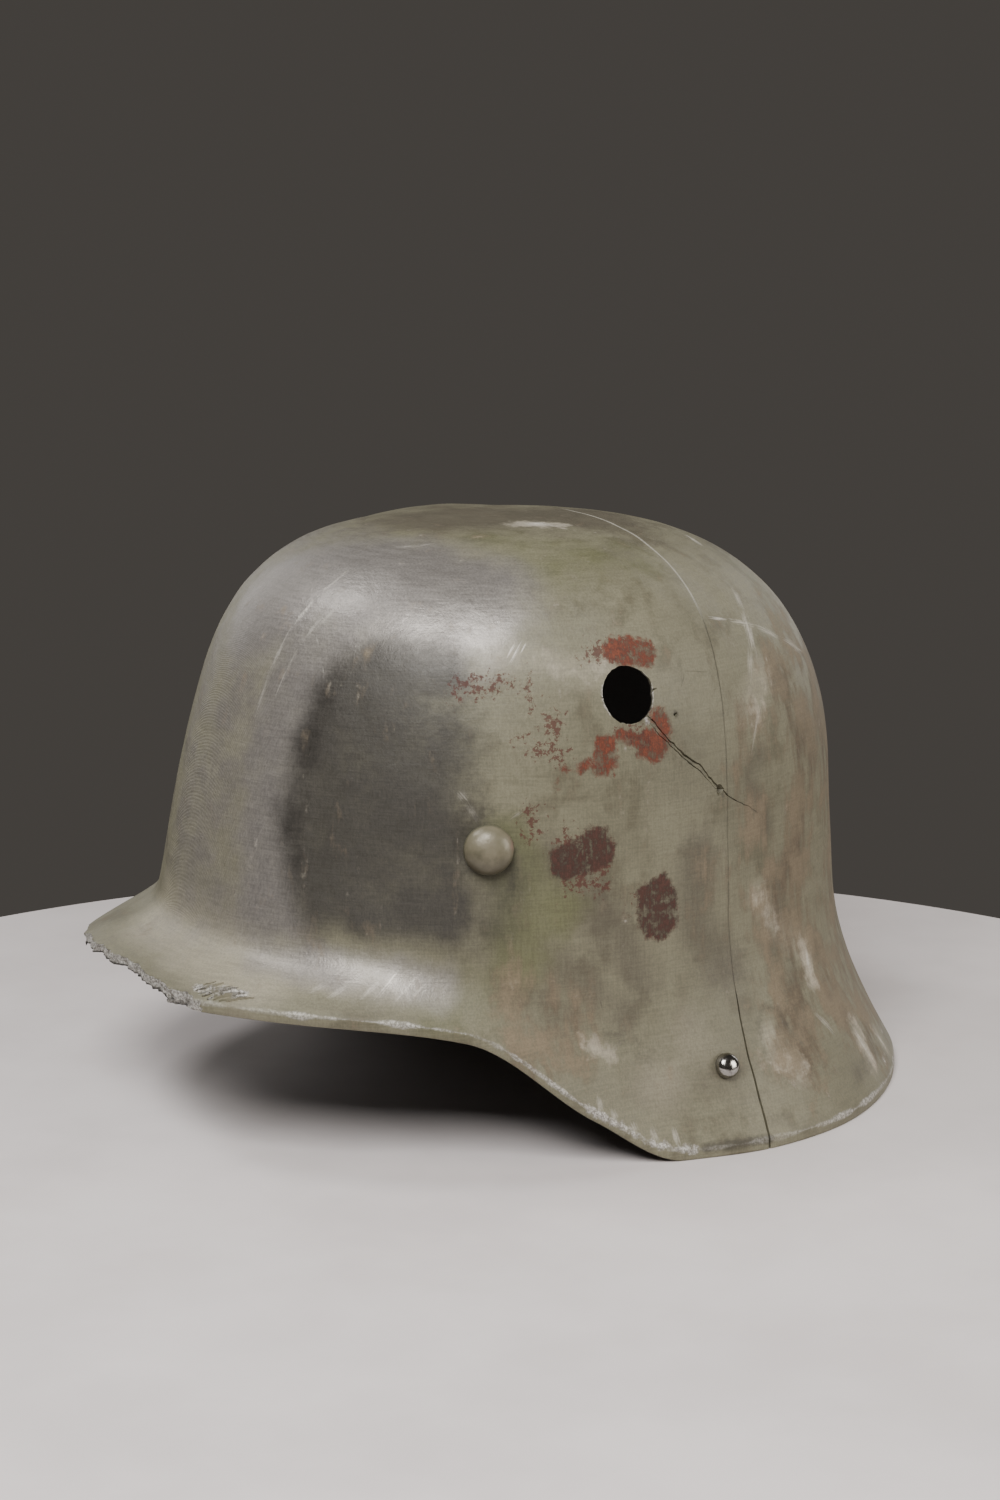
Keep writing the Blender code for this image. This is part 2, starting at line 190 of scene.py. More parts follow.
# Straight scratches and rubbed strokes on the left side: start and end, width in mm and strength
Stroke = namedtuple("Stroke", "azimuth down to_azimuth to_down width strength")
STROKES = table(
    Stroke,
    (64.9, 94.0, 61.5, 103.0, 1.5, 1.0),
    (63.4, 94.5, 61.2, 100.5, 1.1, 1.0),
    (65.6, 95.0, 64.0, 99.0, 0.8, 0.8),
    (110.0, 92.5, 120.5, 95.5, 2.2, 0.80),
    (117.0, 94.0, 129.0, 102.0, 2.8, 0.55),
    (126.0, 99.5, 136.0, 110.5, 4.0, 0.45),
    (134.0, 108.0, 147.0, 122.0, 5.0, 0.40),
    (131.0, 84.0, 125.6, 96.0, 5.0, 0.45),
    (127.6, 92.0, 120.5, 109.0, 6.0, 0.60),
    (125.2, 94.0, 121.4, 112.0, 3.0, 0.50),
    (122.0, 103.0, 116.0, 118.0, 5.0, 0.30),
    (76.0, 23.0, 100.0, 29.0, 11.0, 0.85),
    (88.0, 22.0, 97.4, 34.0, 6.0, 0.50),
    (156.5, 63.5, 146.0, 70.0, 4.0, 0.90),
    (21.0, 72.0, 16.4, 90.0, 2.4, 0.45),
    (17.6, 84.0, 14.0, 106.0, 2.0, 0.55),
    (14.8, 98.0, 12.4, 124.0, 2.0, 0.50),
    (13.2, 116.0, 11.8, 136.0, 1.8, 0.30),
    (21.6, 92.0, 17.8, 108.0, 2.4, 0.50),
    (18.6, 104.0, 15.6, 126.0, 1.8, 0.45),
    (24.0, 88.0, 20.0, 102.0, 1.8, 0.40),
    (21.0, 101.0, 23.0, 106.0, 1.0, 0.55),
    (24.6, 110.0, 25.6, 114.0, 0.8, 0.50),
    (22.0, 62.0, 34.0, 56.0, 3.0, 0.40),
    (29.0, 59.5, 39.0, 51.0, 2.4, 0.40),
    (31.4, 214.0, 35.0, 205.0, 3.0, 0.34),
    (34.6, 214.5, 38.0, 203.0, 3.4, 0.38),
    (38.6, 213.0, 42.0, 200.0, 2.6, 0.42),
    (41.0, 211.0, 44.4, 196.5, 1.8, 0.60),
    (43.6, 211.0, 47.0, 198.0, 1.6, 0.50),
    (45.8, 209.0, 48.6, 200.0, 1.4, 0.35),
    (57.0, 152.5, 53.4, 143.0, 5.0, 0.22),
    (54.4, 145.0, 52.4, 141.0, 4.4, 0.28),
    (61.4, 150.5, 64.6, 147.0, 2.4, 0.20),
    (112.5, 141.0, 119.5, 121.0, 3.0, 0.28),
    (127.4, 208.0, 126.0, 221.0, 3.4, 0.55),
    (132.0, 240.0, 134.0, 262.0, 5.0, 0.50),
    (122.0, 228.0, 126.0, 242.0, 4.0, 0.30),
    (141.0, 252.0, 143.0, 262.0, 4.0, 0.60),
    (75.6, 238.0, 76.4, 247.0, 3.8, 0.34),
    (77.8, 243.0, 78.8, 251.0, 4.2, 0.34),
    (81.0, 249.0, 81.8, 256.0, 4.6, 0.34),
    (84.6, 252.0, 85.2, 260.0, 4.6, 0.34),
    (88.4, 254.0, 88.8, 262.0, 4.8, 0.34),
)

# How deep a stroke's ellipsoid reaches, and the length, width and depth of the hairs it is made of
STROKE_DEPTH = 12.0 * MM
HAIR_SIZES = (8.0 * MM, 0.45 * MM, 1.0)

# Fine dark scratches, in the same columns
HAIRLINES = table(
    Stroke,
    (95.6, 110.2, 105.8, 111.2, 0.8, 0.7),
    (98.6, 110.0, 95.8, 117.4, 0.8, 0.6),
    (77.6, 209.0, 78.2, 214.0, 0.8, 0.6),
    (113.0, 63.0, 117.0, 66.0, 0.7, 0.5),
)

# Soft areas: the radius and softness of their edge in mm, their strength and the places they pass
Area = namedtuple("Area", "radius soft strength path")
# Graphite-rubbed areas, darkened further as a painted dark reflection of the surroundings
GRAPHITE_AND_DARK_REFLECTION_AREAS = table(
    Area,
    (13, 10, 1.0, ((32, 116), (28, 138), (27, 160), (31, 180))),
    (12, 7, 1.0, ((38, 108), (47, 106))),
    (25, 14, 0.97, ((38, 132), (38, 160), (43, 160), (43, 132))),
    (10, 9, 0.95, ((49, 128), (49, 158))),
    (12, 9, 1.0, ((36, 180), (50, 178))),
    (14, 13, 0.55, ((57, 179), (59, 170))),
    (34, 20, 0.6, ((-38, 150), (-60, 160))),
)
# Lilac-grey silver coat, lightened as a painted sheen on the upper front of the dome and on the peak
SILVER_AND_SHEEN_AREAS = table(
    Area,
    (26, 16, 1.0, ((4, 92), (18, 80), (34, 78), (48, 80))),
    (15, 12, 0.9, ((25, 98), (21, 130), (19, 165), (21, 188))),
    (34, 22, 0.50, ((0, 80), (0, 130), (6, 180))),
    (9, 8, 0.75, ((16, 104), (15, 150))),
    (30, 20, 0.5, ((-20, 80), (-50, 84), (-100, 96))),
    (8, 7, 0.75, ((22, 204), (36, 203), (50, 202))),
)
DUST_AREAS = table(
    Area,
    (9, 9, 0.75, ((114, 128), (110, 141), (114, 160))),
    (12, 10, 0.85, ((128, 120), (133, 150), (128, 180), (118, 192))),
    (14, 10, 0.9, ((124, 200), (121, 212), (118, 224), (114, 240))),
    (12, 10, 0.8, ((132, 214), (130, 232), (136, 252))),
    (40, 24, 0.7, ((150, 140), (165, 190), (150, 225))),
    (40, 26, 0.8, ((180, 150), (-160, 190), (-130, 200))),
    (14, 12, 0.6, ((66, 225), (74, 222), (64, 208))),
    (16, 14, 0.4, ((99, 191), (104, 184))),
    (26, 20, 0.6, ((-90, 215), (-75, 210))),
)
GREEN_AREAS = table(
    Area,
    (11, 9, 0.9, ((61, 158), (64, 172), (63, 194), (69, 178))),
    (18, 14, 0.6, ((100, 60), (78, 62), (60, 50))),
    (12, 10, 0.6, ((50, 208), (62, 200))),
    (12, 12, 0.5, ((140, 110), (150, 90))),
    (30, 20, 0.6, ((-70, 160), (-90, 190))),
)
PALE_AREAS = table(
    Area,
    (4, 4, 0.85, ((126.5, 209), (126.0, 221))),
    (5, 5, 0.8, ((133.5, 244), (132.5, 258))),
    (4, 4, 0.7, ((142.0, 255), (143.0, 262))),
    (5, 5, 0.5, ((113.0, 246), (108.0, 240))),
    (4, 5, 0.55, ((114.6, 186), (118.0, 198))),
    (6, 7, 0.5, ((120.8, 118), (115.5, 128))),
    (4, 4, 0.7, ((75.4, 223), (79.0, 227))),
    # This band is a painted highlight beside the hole, not a rub
    (4, 5, 0.45, ((60.0, 99), (72.0, 104), (81.0, 108))),
    (9, 9, 0.5, ((-110, 190), (-118, 220))),
    (7, 7, 0.6, ((-84, 236), (-100, 244))),
    (9, 9, 0.5, ((170, 200), (178, 220))),
    (6, 5, 0.85, ((79, 24), (98, 30))),
)
# Lighter olive: painted light on the peak's top and flank and a painted highlight band beside the hole,
# elsewhere paler paint
PAINTED_LIGHT_AND_PALE_AREAS = table(
    Area,
    (13, 12, 0.95, ((-6, 206), (12, 210), (24, 211))),
    (6, 7, 0.6, ((60, 99), (72, 104), (81, 108))),
    (12, 12, 0.45, ((96, 228), (88, 240))),
    (7, 7, 0.7, ((32, 207), (50, 205))),
    (5, 5, 0.9, ((113, 246), (110, 232))),
    (5, 5, 0.8, ((114, 186), (119, 198), (126, 212))),
    (7, 7, 0.7, ((122, 116), (114, 124))),
    (14, 13, 0.5, ((-70, 100), (-100, 120))),
    (14, 13, 0.5, ((160, 100), (178, 130))),
)
# Darker, duller paint; the bands along the crown are painted shade
DULL_AND_SHADE_AREAS = table(
    Area,
    (26, 16, 1.0, ((0, 22), (60, 6), (130, 14), (150, 26))),
    (9, 9, 0.8, ((69, 163), (77, 181), (86, 205))),
    (8, 8, 0.7, ((61, 186), (70, 196), (82, 216))),
    (10, 10, 0.80, ((98, 170), (97, 190), (104, 206))),
    (6, 6, 0.65, ((62.5, 153), (61.5, 166))),
    (8, 8, 0.6, ((60, 200), (72, 214))),
    (7, 8, 0.6, ((97, 62), (112, 52), (130, 56))),
    (14, 13, 0.5, ((84, 40), (60, 42))),
    (9, 9, 0.5, ((95, 240), (102, 246))),
    (26, 22, 0.6, ((-40, 30), (-110, 40))),
    (22, 18, 0.55, ((-100, 130), (-120, 170))),
    (20, 18, 0.55, ((175, 90), (-165, 120))),
    (5, 5, 0.8, ((115.6, 140), (112.0, 146), (117.0, 164))),
    (6, 6, 0.8, ((127.0, 176), (121.0, 182), (117.0, 204))),
    (5, 5, 0.8, ((121.4, 212), (117.6, 230), (114.0, 242))),
    (5, 5, 0.7, ((129.6, 226), (131.4, 236))),
    (5, 5, 0.7, ((136.8, 256), (126.0, 256))),
    (4, 4, 0.6, ((127.7, 130), (131.0, 146))),
)
DIRT_AND_SHADOW_AREAS = table(
    Area,
    (2.0, 1.6, 0.9, ((93, 263), (103, 263))),
    (1.6, 1.4, 0.6, ((107.6, 236), (108.4, 226), (111.0, 221.5), (114.0, 224), (114.6, 233))),
    # A painted shadow of the vent lug on the shell
    (7, 6, 0.7, ((54.6, 150), (55.4, 158), (58.6, 162))),
    (3, 3, 0.6, ((61.5, 159), (62.5, 172))),
    (2.0, 1.6, 0.5, ((97.2, 107.5), (97.0, 112.0))),
    (1.2, 1.0, 0.8, ((94.3, 123.6), (94.5, 124.4))),
    (1.2, 0.9, 0.9, ((104.2, 148.6), (105.0, 150.4))),
    (5, 5, 0.5, ((78, 221), (86, 232))),
)
BARE_AREAS = table(
    Area,
    (1.8, 1.6, 0.80, ((74, 243), (79, 253), (84, 260), (91, 263))),
    (2.2, 1.6, 0.85, ((18.0, 224), (20.5, 222.5), (24.0, 220))),
    (2.0, 2.0, 0.6, ((138, 262), (150, 258))),
    (0.9, 0.7, 0.9, ((87.6, 124.4), (88.2, 125.4))),
)
# Where the joint shows as a light ridge, a painted highlight along its top
RIDGE_HIGHLIGHT_AREAS = table(Area, (9, 7, 0.75, ((170, 30), (140, 38), (115.4, 56), (107.8, 81))))

# Thickness of the fine layers, front to back, whose steps show where the shell faces the front
LAYER_STEP = 0.26 * MM

# The crack that runs back from the hole, as places, and how wide and deep each is in mm
CrackPoint = namedtuple("CrackPoint", "azimuth down width depth")
CRACK = table(
    CrackPoint,
    (87.9, 123.0, 0.30, 0.5),
    (89.0, 125.0, 0.60, 1.0),
    (92.2, 131.5, 0.55, 1.0),
    (95.7, 136.8, 0.70, 1.2),
    (99.3, 140.4, 0.60, 1.0),
    (102.6, 146.0, 0.75, 1.2),
    (104.6, 149.2, 0.80, 1.2),
    (108.0, 153.0, 0.45, 0.8),
    (111.2, 155.4, 0.35, 0.6),
    (114.4, 158.6, 0.15, 0.3),
)
CRACK_BRANCH = table(
    CrackPoint,
    (88.6, 126.0, 0.20, 0.4),
    (89.9, 129.0, 0.45, 0.8),
    (93.3, 134.6, 0.40, 0.8),
    (96.2, 138.8, 0.45, 0.8),
    (99.6, 142.6, 0.50, 0.8),
    (103.0, 148.2, 0.30, 0.5),
    (104.0, 150.6, 0.15, 0.3),
)
# Cuts scraped into the peak beside the break, in the same columns
GOUGES = (
    ((18.4, 226.0, 0.5, 0.5), (19.6, 222.5, 1.4, 1.1), (21.6, 218.5, 0.4, 0.4)),
    ((20.0, 226.5, 0.6, 0.5), (21.2, 223.0, 1.5, 1.2), (23.4, 219.5, 0.4, 0.4)),
    ((21.6, 225.6, 0.5, 0.4), (22.8, 223.0, 1.1, 0.9), (24.6, 220.5, 0.3, 0.3)),
    ((17.2, 225.0, 0.4, 0.4), (18.0, 222.0, 0.9, 0.8), (19.0, 219.0, 0.3, 0.3)),
)
# Burrs pushed up between the cuts
BURRS = (
    ((17.8, 225.4, 0.3, 0.1), (18.8, 222.6, 0.6, 0.8), (20.2, 218.6, 0.2, 0.1)),
    ((19.2, 226.4, 0.3, 0.1), (20.4, 222.8, 0.7, 1.1), (22.6, 218.4, 0.2, 0.1)),
    ((20.8, 226.0, 0.3, 0.1), (22.0, 223.0, 0.7, 1.0), (24.0, 219.6, 0.2, 0.1)),
    ((22.6, 225.0, 0.2, 0.1), (23.8, 222.6, 0.5, 0.7), (25.6, 220.2, 0.2, 0.1)),
)
# Nicks in the hole's edge, at its left and its right
NICKS = (
    ((79.2, 115.2, 0.2, 0.5), (79.9, 115.4, 0.9, 1.6), (80.8, 115.6, 1.2, 2.4)),
    ((88.4, 116.2, 1.3, 2.4), (89.8, 115.8, 1.0, 1.8), (90.9, 115.4, 0.2, 0.6)),
)
# Small pits in the skin, their sizes in mm
Pit = namedtuple("Pit", "azimuth down radius depth")
PITS = table(Pit, (104.3, 149.0, 1.9, 2.7), (94.4, 124.0, 0.8, 1.7))


def monotone_cubic(places, values, place):
    """Values on a smooth curve through the given ones that never overshoots them."""
    places, values = np.array(places, float), np.array(values, float)
    gaps = np.diff(places)
    rates = np.diff(values) / gaps
    slopes = np.zeros(len(places))
    near = 2.0 * gaps[1:] + gaps[:-1]
    far = gaps[1:] + 2.0 * gaps[:-1]
    for i in range(1, len(places) - 1):
        if rates[i - 1] * rates[i] > 0.0:
            weight = near[i - 1] / rates[i - 1] + far[i - 1] / rates[i]
            slopes[i] = (near[i - 1] + far[i - 1]) / weight
    span = np.clip(np.searchsorted(places, place) - 1, 0, len(gaps) - 1)
    gap = gaps[span]
    t = (place - places[span]) / gap
    return (
        (2 * t**3 - 3 * t**2 + 1) * values[span]
        + (t**3 - 2 * t**2 + t) * gap * slopes[span]
        + (-2 * t**3 + 3 * t**2) * values[span + 1]
        + (t**3 - t**2) * gap * slopes[span + 1]
    )


def section_at(azimuth):
    """The section's row at any azimuths, smoothly between the rows of the table."""
    turn = np.abs((np.asarray(azimuth, float) + 180.0) % 360.0 - 180.0)
    places = [row.azimuth for row in SECTIONS]
    columns = list(zip(*SECTIONS))[1:]
    return Section(turn, *(monotone_cubic(places, column, turn) for column in columns))


def plan_radius(azimuth):
    """Radius of the dome's oval at the brow."""
    turn = np.radians(azimuth)
    return 1.0 / np.hypot(2.0 * np.cos(turn) / DOME_LENGTH, 2.0 * np.sin(turn) / DOME_WIDTH)


def rim_radius(azimuth, kept=1.0):
    """Radius of the rim, or of a line that keeps only a share of the brim's reach."""
    return plan_radius(azimuth) + kept * section_at(azimuth).reach * BRIM_REACH


# The dome's centre at the brow: CAD stands the rim on the ground and centres its box on the origin
CENTRE = Vector((0.0, cad_high.y - float(rim_radius(180.0)), cad_low.z + SKIRT_DROP + RIM_BAND))
SEAM_Y = CENTRE.y + SEAM_SETBACK


def outer_profile(azimuth):
    """Radius, height and distance from the crown, in dense rows down the outer skin."""
    row = section_at(azimuth)
    plan = plan_radius(azimuth)
    count = PROFILE_SAMPLES // 3

    angle = np.linspace(0.0, np.pi / 2, 2 * count)[:, None]
    across, up = np.sin(angle), np.cos(angle).clip(0.0)
    scale = (across**row.roundness + up**row.roundness) ** (-1.0 / row.roundness)
    dome_z = DOME_RISE * (STRAIGHT_SHARE + (1.0 - STRAIGHT_SHARE) * up * scale)
    inset = row.lean * DOME_RISE
    dome_r = (plan - inset) * across * scale + row.lean * (DOME_RISE - dome_z)

    wall_z = np.linspace(STRAIGHT_SHARE * DOME_RISE, 0.0, count // 3)[1:, None]
    wall_r = plan - row.lean * wall_z
    wall_z = wall_z + 0.0 * wall_r

    t = np.linspace(0.0, 1.0, count)[1:, None]
    s = 1.0 - t
    end_r, end_z = plan + row.reach * BRIM_REACH, -row.drop * SKIRT_DROP
    chord = np.hypot(end_r - plan, end_z)
    slope = np.radians(row.slope)
    norm = np.hypot(row.lean, 1.0)
    leave_r = plan + row.lean / norm * row.start * chord
    leave_z = -row.start * chord / norm
    arrive_r = end_r - np.cos(slope) * row.finish * chord
    arrive_z = end_z + np.sin(slope) * row.finish * chord
    flare_r = s**3 * plan + 3 * s * s * t * leave_r + 3 * s * t * t * arrive_r + t**3 * end_r
    flare_z = 3 * s * s * t * leave_z + 3 * s * t * t * arrive_z + t**3 * end_z

    radius = np.concatenate((dome_r, wall_r, flare_r))
    height = np.concatenate((dome_z, wall_z, flare_z))
    steps = np.hypot(np.diff(radius, axis=0), np.diff(height, axis=0))
    down = np.concatenate((np.zeros((1, radius.shape[1])), np.cumsum(steps, axis=0)))
    return radius, height, down


def resample(down, values, places):
    """Each column's values at new distances down the skin."""
    return np.stack([np.interp(p, d, v) for p, d, v in zip(places.T, down.T, values.T)], axis=1)


def place_at(azimuth, radius, height):
    """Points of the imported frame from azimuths, radii and heights over the brow."""
    turn = np.radians(azimuth)
    flat = (radius * np.sin(turn) + CENTRE.x, -radius * np.cos(turn) + CENTRE.y, height + CENTRE.z)
    return np.stack(np.broadcast_arrays(*flat), axis=-1)


def skin_at(azimuth, down_mm):
    """The outer skin's point, outward normal and downward direction at one place."""
    radius, height, down = outer_profile(np.array([azimuth - 0.5, azimuth, azimuth + 0.5]))
    spots = []
    for column, step in ((1, 0.0), (1, -0.5), (1, 0.5), (0, 0.0), (2, 0.0)):
        s = (down_mm + step) * MM
        r = np.interp(s, down[:, column], radius[:, column])
        z = np.interp(s, down[:, column], height[:, column])
        spots.append(Vector(place_at(azimuth + (column - 1) * 0.5, r, z)))
    along = (spots[2] - spots[1]).normalized()
    across = (spots[4] - spots[3]).normalized()
    normal = along.cross(across).normalized()
    if normal.dot(spots[0] - CENTRE) < 0.0:
        normal.negate()
    return spots[0], normal, along


def down_at_height(azimuth, height):
    """How far down the skin a height over the brow lies, in mm."""
    _, heights, down = outer_profile(np.array([azimuth]))
    return float(np.interp(-height, -heights[:, 0], down[:, 0])) / MM


def waves(points, size, seed, count=9):
    """Smooth seeded unevenness from about -1 to 1, its humps about the given size across."""
    draw = np.random.default_rng(seed)
    total = np.zeros(len(points))
    for _ in range(count):
        way = draw.normal(size=3)
        way *= draw.uniform(0.6, 1.5) / np.linalg.norm(way)
        total += np.sin(points @ way * (np.pi / size) + draw.uniform(0.0, 2 * np.pi))
    return total / math.sqrt(count)


def bend(start, corner, end, steps):
    """Rows of a rounded corner, without its first."""
    t = np.linspace(0.0, 1.0, steps + 1)[1:, None]
    return (1 - t) ** 2 * start + 2 * t * (1 - t) * corner + t * t * end


def shell_path(azimuth):
    """Radius and height of the whole wall's section: down the outer skin, round the rim, up inside."""
    radius, height, down = outer_profile(azimuth)
    length = down[-1]
    end_r, end_z = radius[-1], height[-1]
    foot_z = end_z - RIM_BAND

    share = np.linspace(0.0, 1.0, OUTER_ROWS + 1)[1:, None]
    places = share * (length - RIM_TOP_ROUND)
    rows_r = [resample(down, radius, places)]
    rows_z = [resample(down, height, places)]

    def corner(r_points, z_points, steps):
        rows_r.append(bend(*r_points, steps))
        rows_z.append(bend(*z_points, steps))

    top, foot = RIM_TOP_ROUND, RIM_FOOT_ROUND
    corner((rows_r[-1][-1], end_r, end_r), (rows_z[-1][-1], end_z, end_z - top), 5)
    low_z = foot_z + foot
    corner((end_r, end_r, end_r), (end_z - top, (end_z - top + low_z) / 2, low_z), 2)
    corner((end_r, end_r, end_r - foot), (low_z, foot_z, foot_z), 4)
    in_r = end_r - WALL
    corner((end_r - foot, end_r - WALL / 2, in_r + foot), (foot_z, foot_z, foot_z), 2)
    corner((in_r + foot, in_r, in_r), (foot_z, foot_z, low_z), 4)

    slope_r = np.gradient(radius, axis=0)
    slope_z = np.gradient(height, axis=0)
    size = np.hypot(slope_r, slope_z)
    inner_r = radius + WALL * slope_z / size
    inner_z = height - WALL * slope_r / size
    inner_r[0] = 0.0
    meet = np.array([np.interp(edge, r, d) for edge, r, d in zip(in_r, inner_r.T, down.T)])
    meet_z = np.array([np.interp(m, d, z) for m, d, z in zip(meet, down.T, inner_z.T)])
    corner((in_r, in_r, in_r), (low_z, (low_z + meet_z) / 2, meet_z), 2)
    places = (1.0 - np.linspace(0.0, 1.0, INNER_ROWS + 1)[1:-1, None]) * meet
    rows_r.append(resample(down, inner_r, places))
    rows_z.append(resample(down, inner_z, places))
    return np.concatenate(rows_r), np.concatenate(rows_z)


def mesh_object(name, points, faces):
    """A new object of points and faces, its faces turned outwards."""
    mesh = bpy.data.meshes.new(name)
    mesh.from_pydata([tuple(p) for p in points], [], faces)
    work = bmesh.new()
    work.from_mesh(mesh)
    bmesh.ops.recalc_face_normals(work, faces=work.faces)
    work.to_mesh(mesh)
    work.free()
    thing = bpy.data.objects.new(name, mesh)
    bpy.context.scene.collection.objects.link(thing)
    return thing


def ring_faces(rings, size):
    """Quads between rings of points that follow each other in the list."""
    faces = []
    for k in range(rings - 1):
        for c in range(size):
            d = (c + 1) % size
            faces.append((k * size + c, (k + 1) * size + c, (k + 1) * size + d, k * size + d))
    return faces


def build_blank():
    """The whole helmet wall as one closed fine mesh, uneven as the paint is, before anything is cut."""
    turns, shares = zip(*COLUMN_SPREAD)
    azimuth = np.interp(np.arange(COLUMNS) / COLUMNS, shares, turns)
    radius, height = shell_path(azimuth)
    points = place_at(azimuth, radius, height).reshape(-1, 3)

    outer = np.zeros(radius.shape)
    fade = np.linspace(0.0, 1.0, OUTER_ROWS)
    outer[:OUTER_ROWS] = (np.clip(fade / 0.03, 0, 1) * np.clip((1.0 - fade) / 0.04, 0, 1))[:, None]
    inward = points - np.array((CENTRE.x, CENTRE.y, CENTRE.z + 0.02))
    inward /= -np.linalg.norm(inward, axis=1)[:, None]
    depth = sum(wave.height * (1 + waves(points, wave.size, wave.seed)) for wave in SKIN_WAVES)
    depth = np.clip(depth, 0.0, SKIN_DEPTH) * MM * outer.reshape(-1)
    points = points + inward * depth[:, None]
    points[:, 0] = np.clip(points[:, 0], cad_low.x, cad_high.x)

    rows = len(radius)
    faces = ring_faces(rows, COLUMNS)
    crown, ceiling = rows * COLUMNS, rows * COLUMNS + 1
    last = (rows - 1) * COLUMNS
    for c in range(COLUMNS):
        d = (c + 1) % COLUMNS
        faces.append((crown, c, d))
        faces.append((ceiling, last + d, last + c))
    top = np.array((tuple(CENTRE),) * 2)
    top[0, 2] += DOME_RISE
    top[1, 2] += DOME_RISE - WALL
    return mesh_object("blank", np.concatenate((points, top)), faces)


def closed_loft(name, rings):
    """A closed mesh through rings of equally many points, its two ends filled."""
    size = len(rings[0])
    faces = ring_faces(len(rings), size)
    faces.append(tuple(range(size)))
    faces.append(tuple(range((len(rings) - 1) * size, len(rings) * size)))
    return mesh_object(name, np.concatenate([np.array(ring) for ring in rings]), faces)


def carve(thing, cutters, operation="DIFFERENCE"):
    """Takes the cutters out of an object for good."""
    for cutter in cutters:
        modifier = thing.modifiers.new(cutter.name, "BOOLEAN")
        modifier.operation = operation
        modifier.solver = "MANIFOLD"
        modifier.object = cutter
    bpy.context.view_layer.update()
    graph = bpy.context.evaluated_depsgraph_get()
    mesh = bpy.data.meshes.new_from_object(thing.evaluated_get(graph))
    thing.modifiers.clear()
    thing.data = mesh
    for cutter in cutters:
        bpy.data.objects.remove(cutter)


def bore(name, centre, axis, shares, rows, seed=0, rough=0.0):
    """A cutter turned about an axis: rows of (height over the skin, radius), rough all round."""
    side = axis.cross(Vector((0.0, 0.0, 1.0))).normalized()
    up = side.cross(axis)
    draw = np.random.default_rng(seed)
    count = len(shares)
    rings = []
    for height, radius in rows:
        ring = []
        for k in range(count):
            turn = math.tau * k / count
            r = radius * shares[k] + draw.normal() * rough
            ring.append(centre + axis * height + (side * math.cos(turn) + up * math.sin(turn)) * r)
        rings.append(ring)
    return closed_loft(name, rings)


def shot_hole():
    """The hole's cutter: an uneven round with a chipped, bevelled mouth."""
    centre, axis, _ = skin_at(HOLE_AZIMUTH, down_at_height(HOLE_AZIMUTH, HOLE_HEIGHT))
    fine = 84
    corner = np.arange(len(HOLE_CORNERS) + 1)
    shares = np.interp(
        np.arange(fine) * len(HOLE_CORNERS) / fine, corner, HOLE_CORNERS + HOLE_CORNERS[:1]
    )
    over = 6.0 * MM
    rows = (
        (over, HOLE_RADIUS + 1.2 * MM),
        (0.35 * MM, HOLE_RADIUS + 0.75 * MM),
        (-0.35 * MM, HOLE_RADIUS + 0.10 * MM),
        (-0.9 * MM, HOLE_RADIUS - 0.10 * MM),
        (-1.6 * MM, HOLE_RADIUS - 0.05 * MM),
        (-2.4 * MM, HOLE_RADIUS + 0.05 * MM),
        (-3.2 * MM, HOLE_RADIUS + 0.30 * MM),
        (-over, HOLE_RADIUS + 0.60 * MM),
    )
    return bore("shot_hole", centre, axis, shares, rows, seed=5, rough=0.10 * MM)


def groove(name, path, seed, steps=6, sense=1):
    """A ragged V-shaped cutter along places on the skin, or with a sense of -1 a ridge to add."""
    draw = np.random.default_rng(seed)
    marks = np.array(path, float)
    places = np.linspace(0, len(marks) - 1, (len(marks) - 1) * steps + 1)
    fine = np.stack([np.interp(places, np.arange(len(marks)), column) for column in marks.T], axis=1)
    rings = []
    for i, (azimuth, down, width, depth) in enumerate(fine):
        ahead = fine[min(i + 1, len(fine) - 1)]
        behind = fine[max(i - 1, 0)]
        place, normal, _ = skin_at(azimuth, down)
        way = skin_at(ahead[0], ahead[1])[0] - skin_at(behind[0], behind[1])[0]
        side = normal.cross(way).normalized()
        place = place + side * draw.normal() * 0.12 * MM
        half = width * MM * draw.uniform(0.75, 1.35)
        normal = normal * sense
        edge = place + normal * 0.6 * MM
        point = place - normal * (depth * draw.uniform(0.8, 1.2) + 0.3) * MM
        rings.append((edge + side * half, edge - side * half, point))
    return closed_loft(name, rings)


def pit(name, spot, seed):
    """A ragged shallow pit's cutter."""
    centre, axis, _ = skin_at(spot.azimuth, spot.down)
    draw = np.random.default_rng(seed)
    shares = draw.uniform(0.7, 1.25, 12)
    radius, depth = spot.radius * MM, spot.depth * MM
    rows = ((1.5 * MM, radius * 1.1), (-0.4 * depth, radius))
    rows += ((-0.8 * depth, radius * 0.6), (-depth, radius * 0.2))
    return bore(name, centre, axis, shares, rows, seed=seed, rough=0.05 * MM)


def break_line(azimuth, height):
    """Radius of the peak's fracture, jagged along and through the wall."""
    places = [p.azimuth for p in PEAK_BREAK]
    kept = np.interp(azimuth, places, [p.kept for p in PEAK_BREAK])
    radius = rim_radius(azimuth, kept)
    spot = np.stack(np.broadcast_arrays(azimuth * 2.5 * MM, height * 1.3, 0.0 * azimuth), axis=-1)
    spot = spot.reshape(-1, 3)
    chips = sum(wave.height * waves(spot, wave.size, wave.seed) for wave in CHIP_WAVES)
    return radius + (chips.reshape(radius.shape) - 0.8) * MM


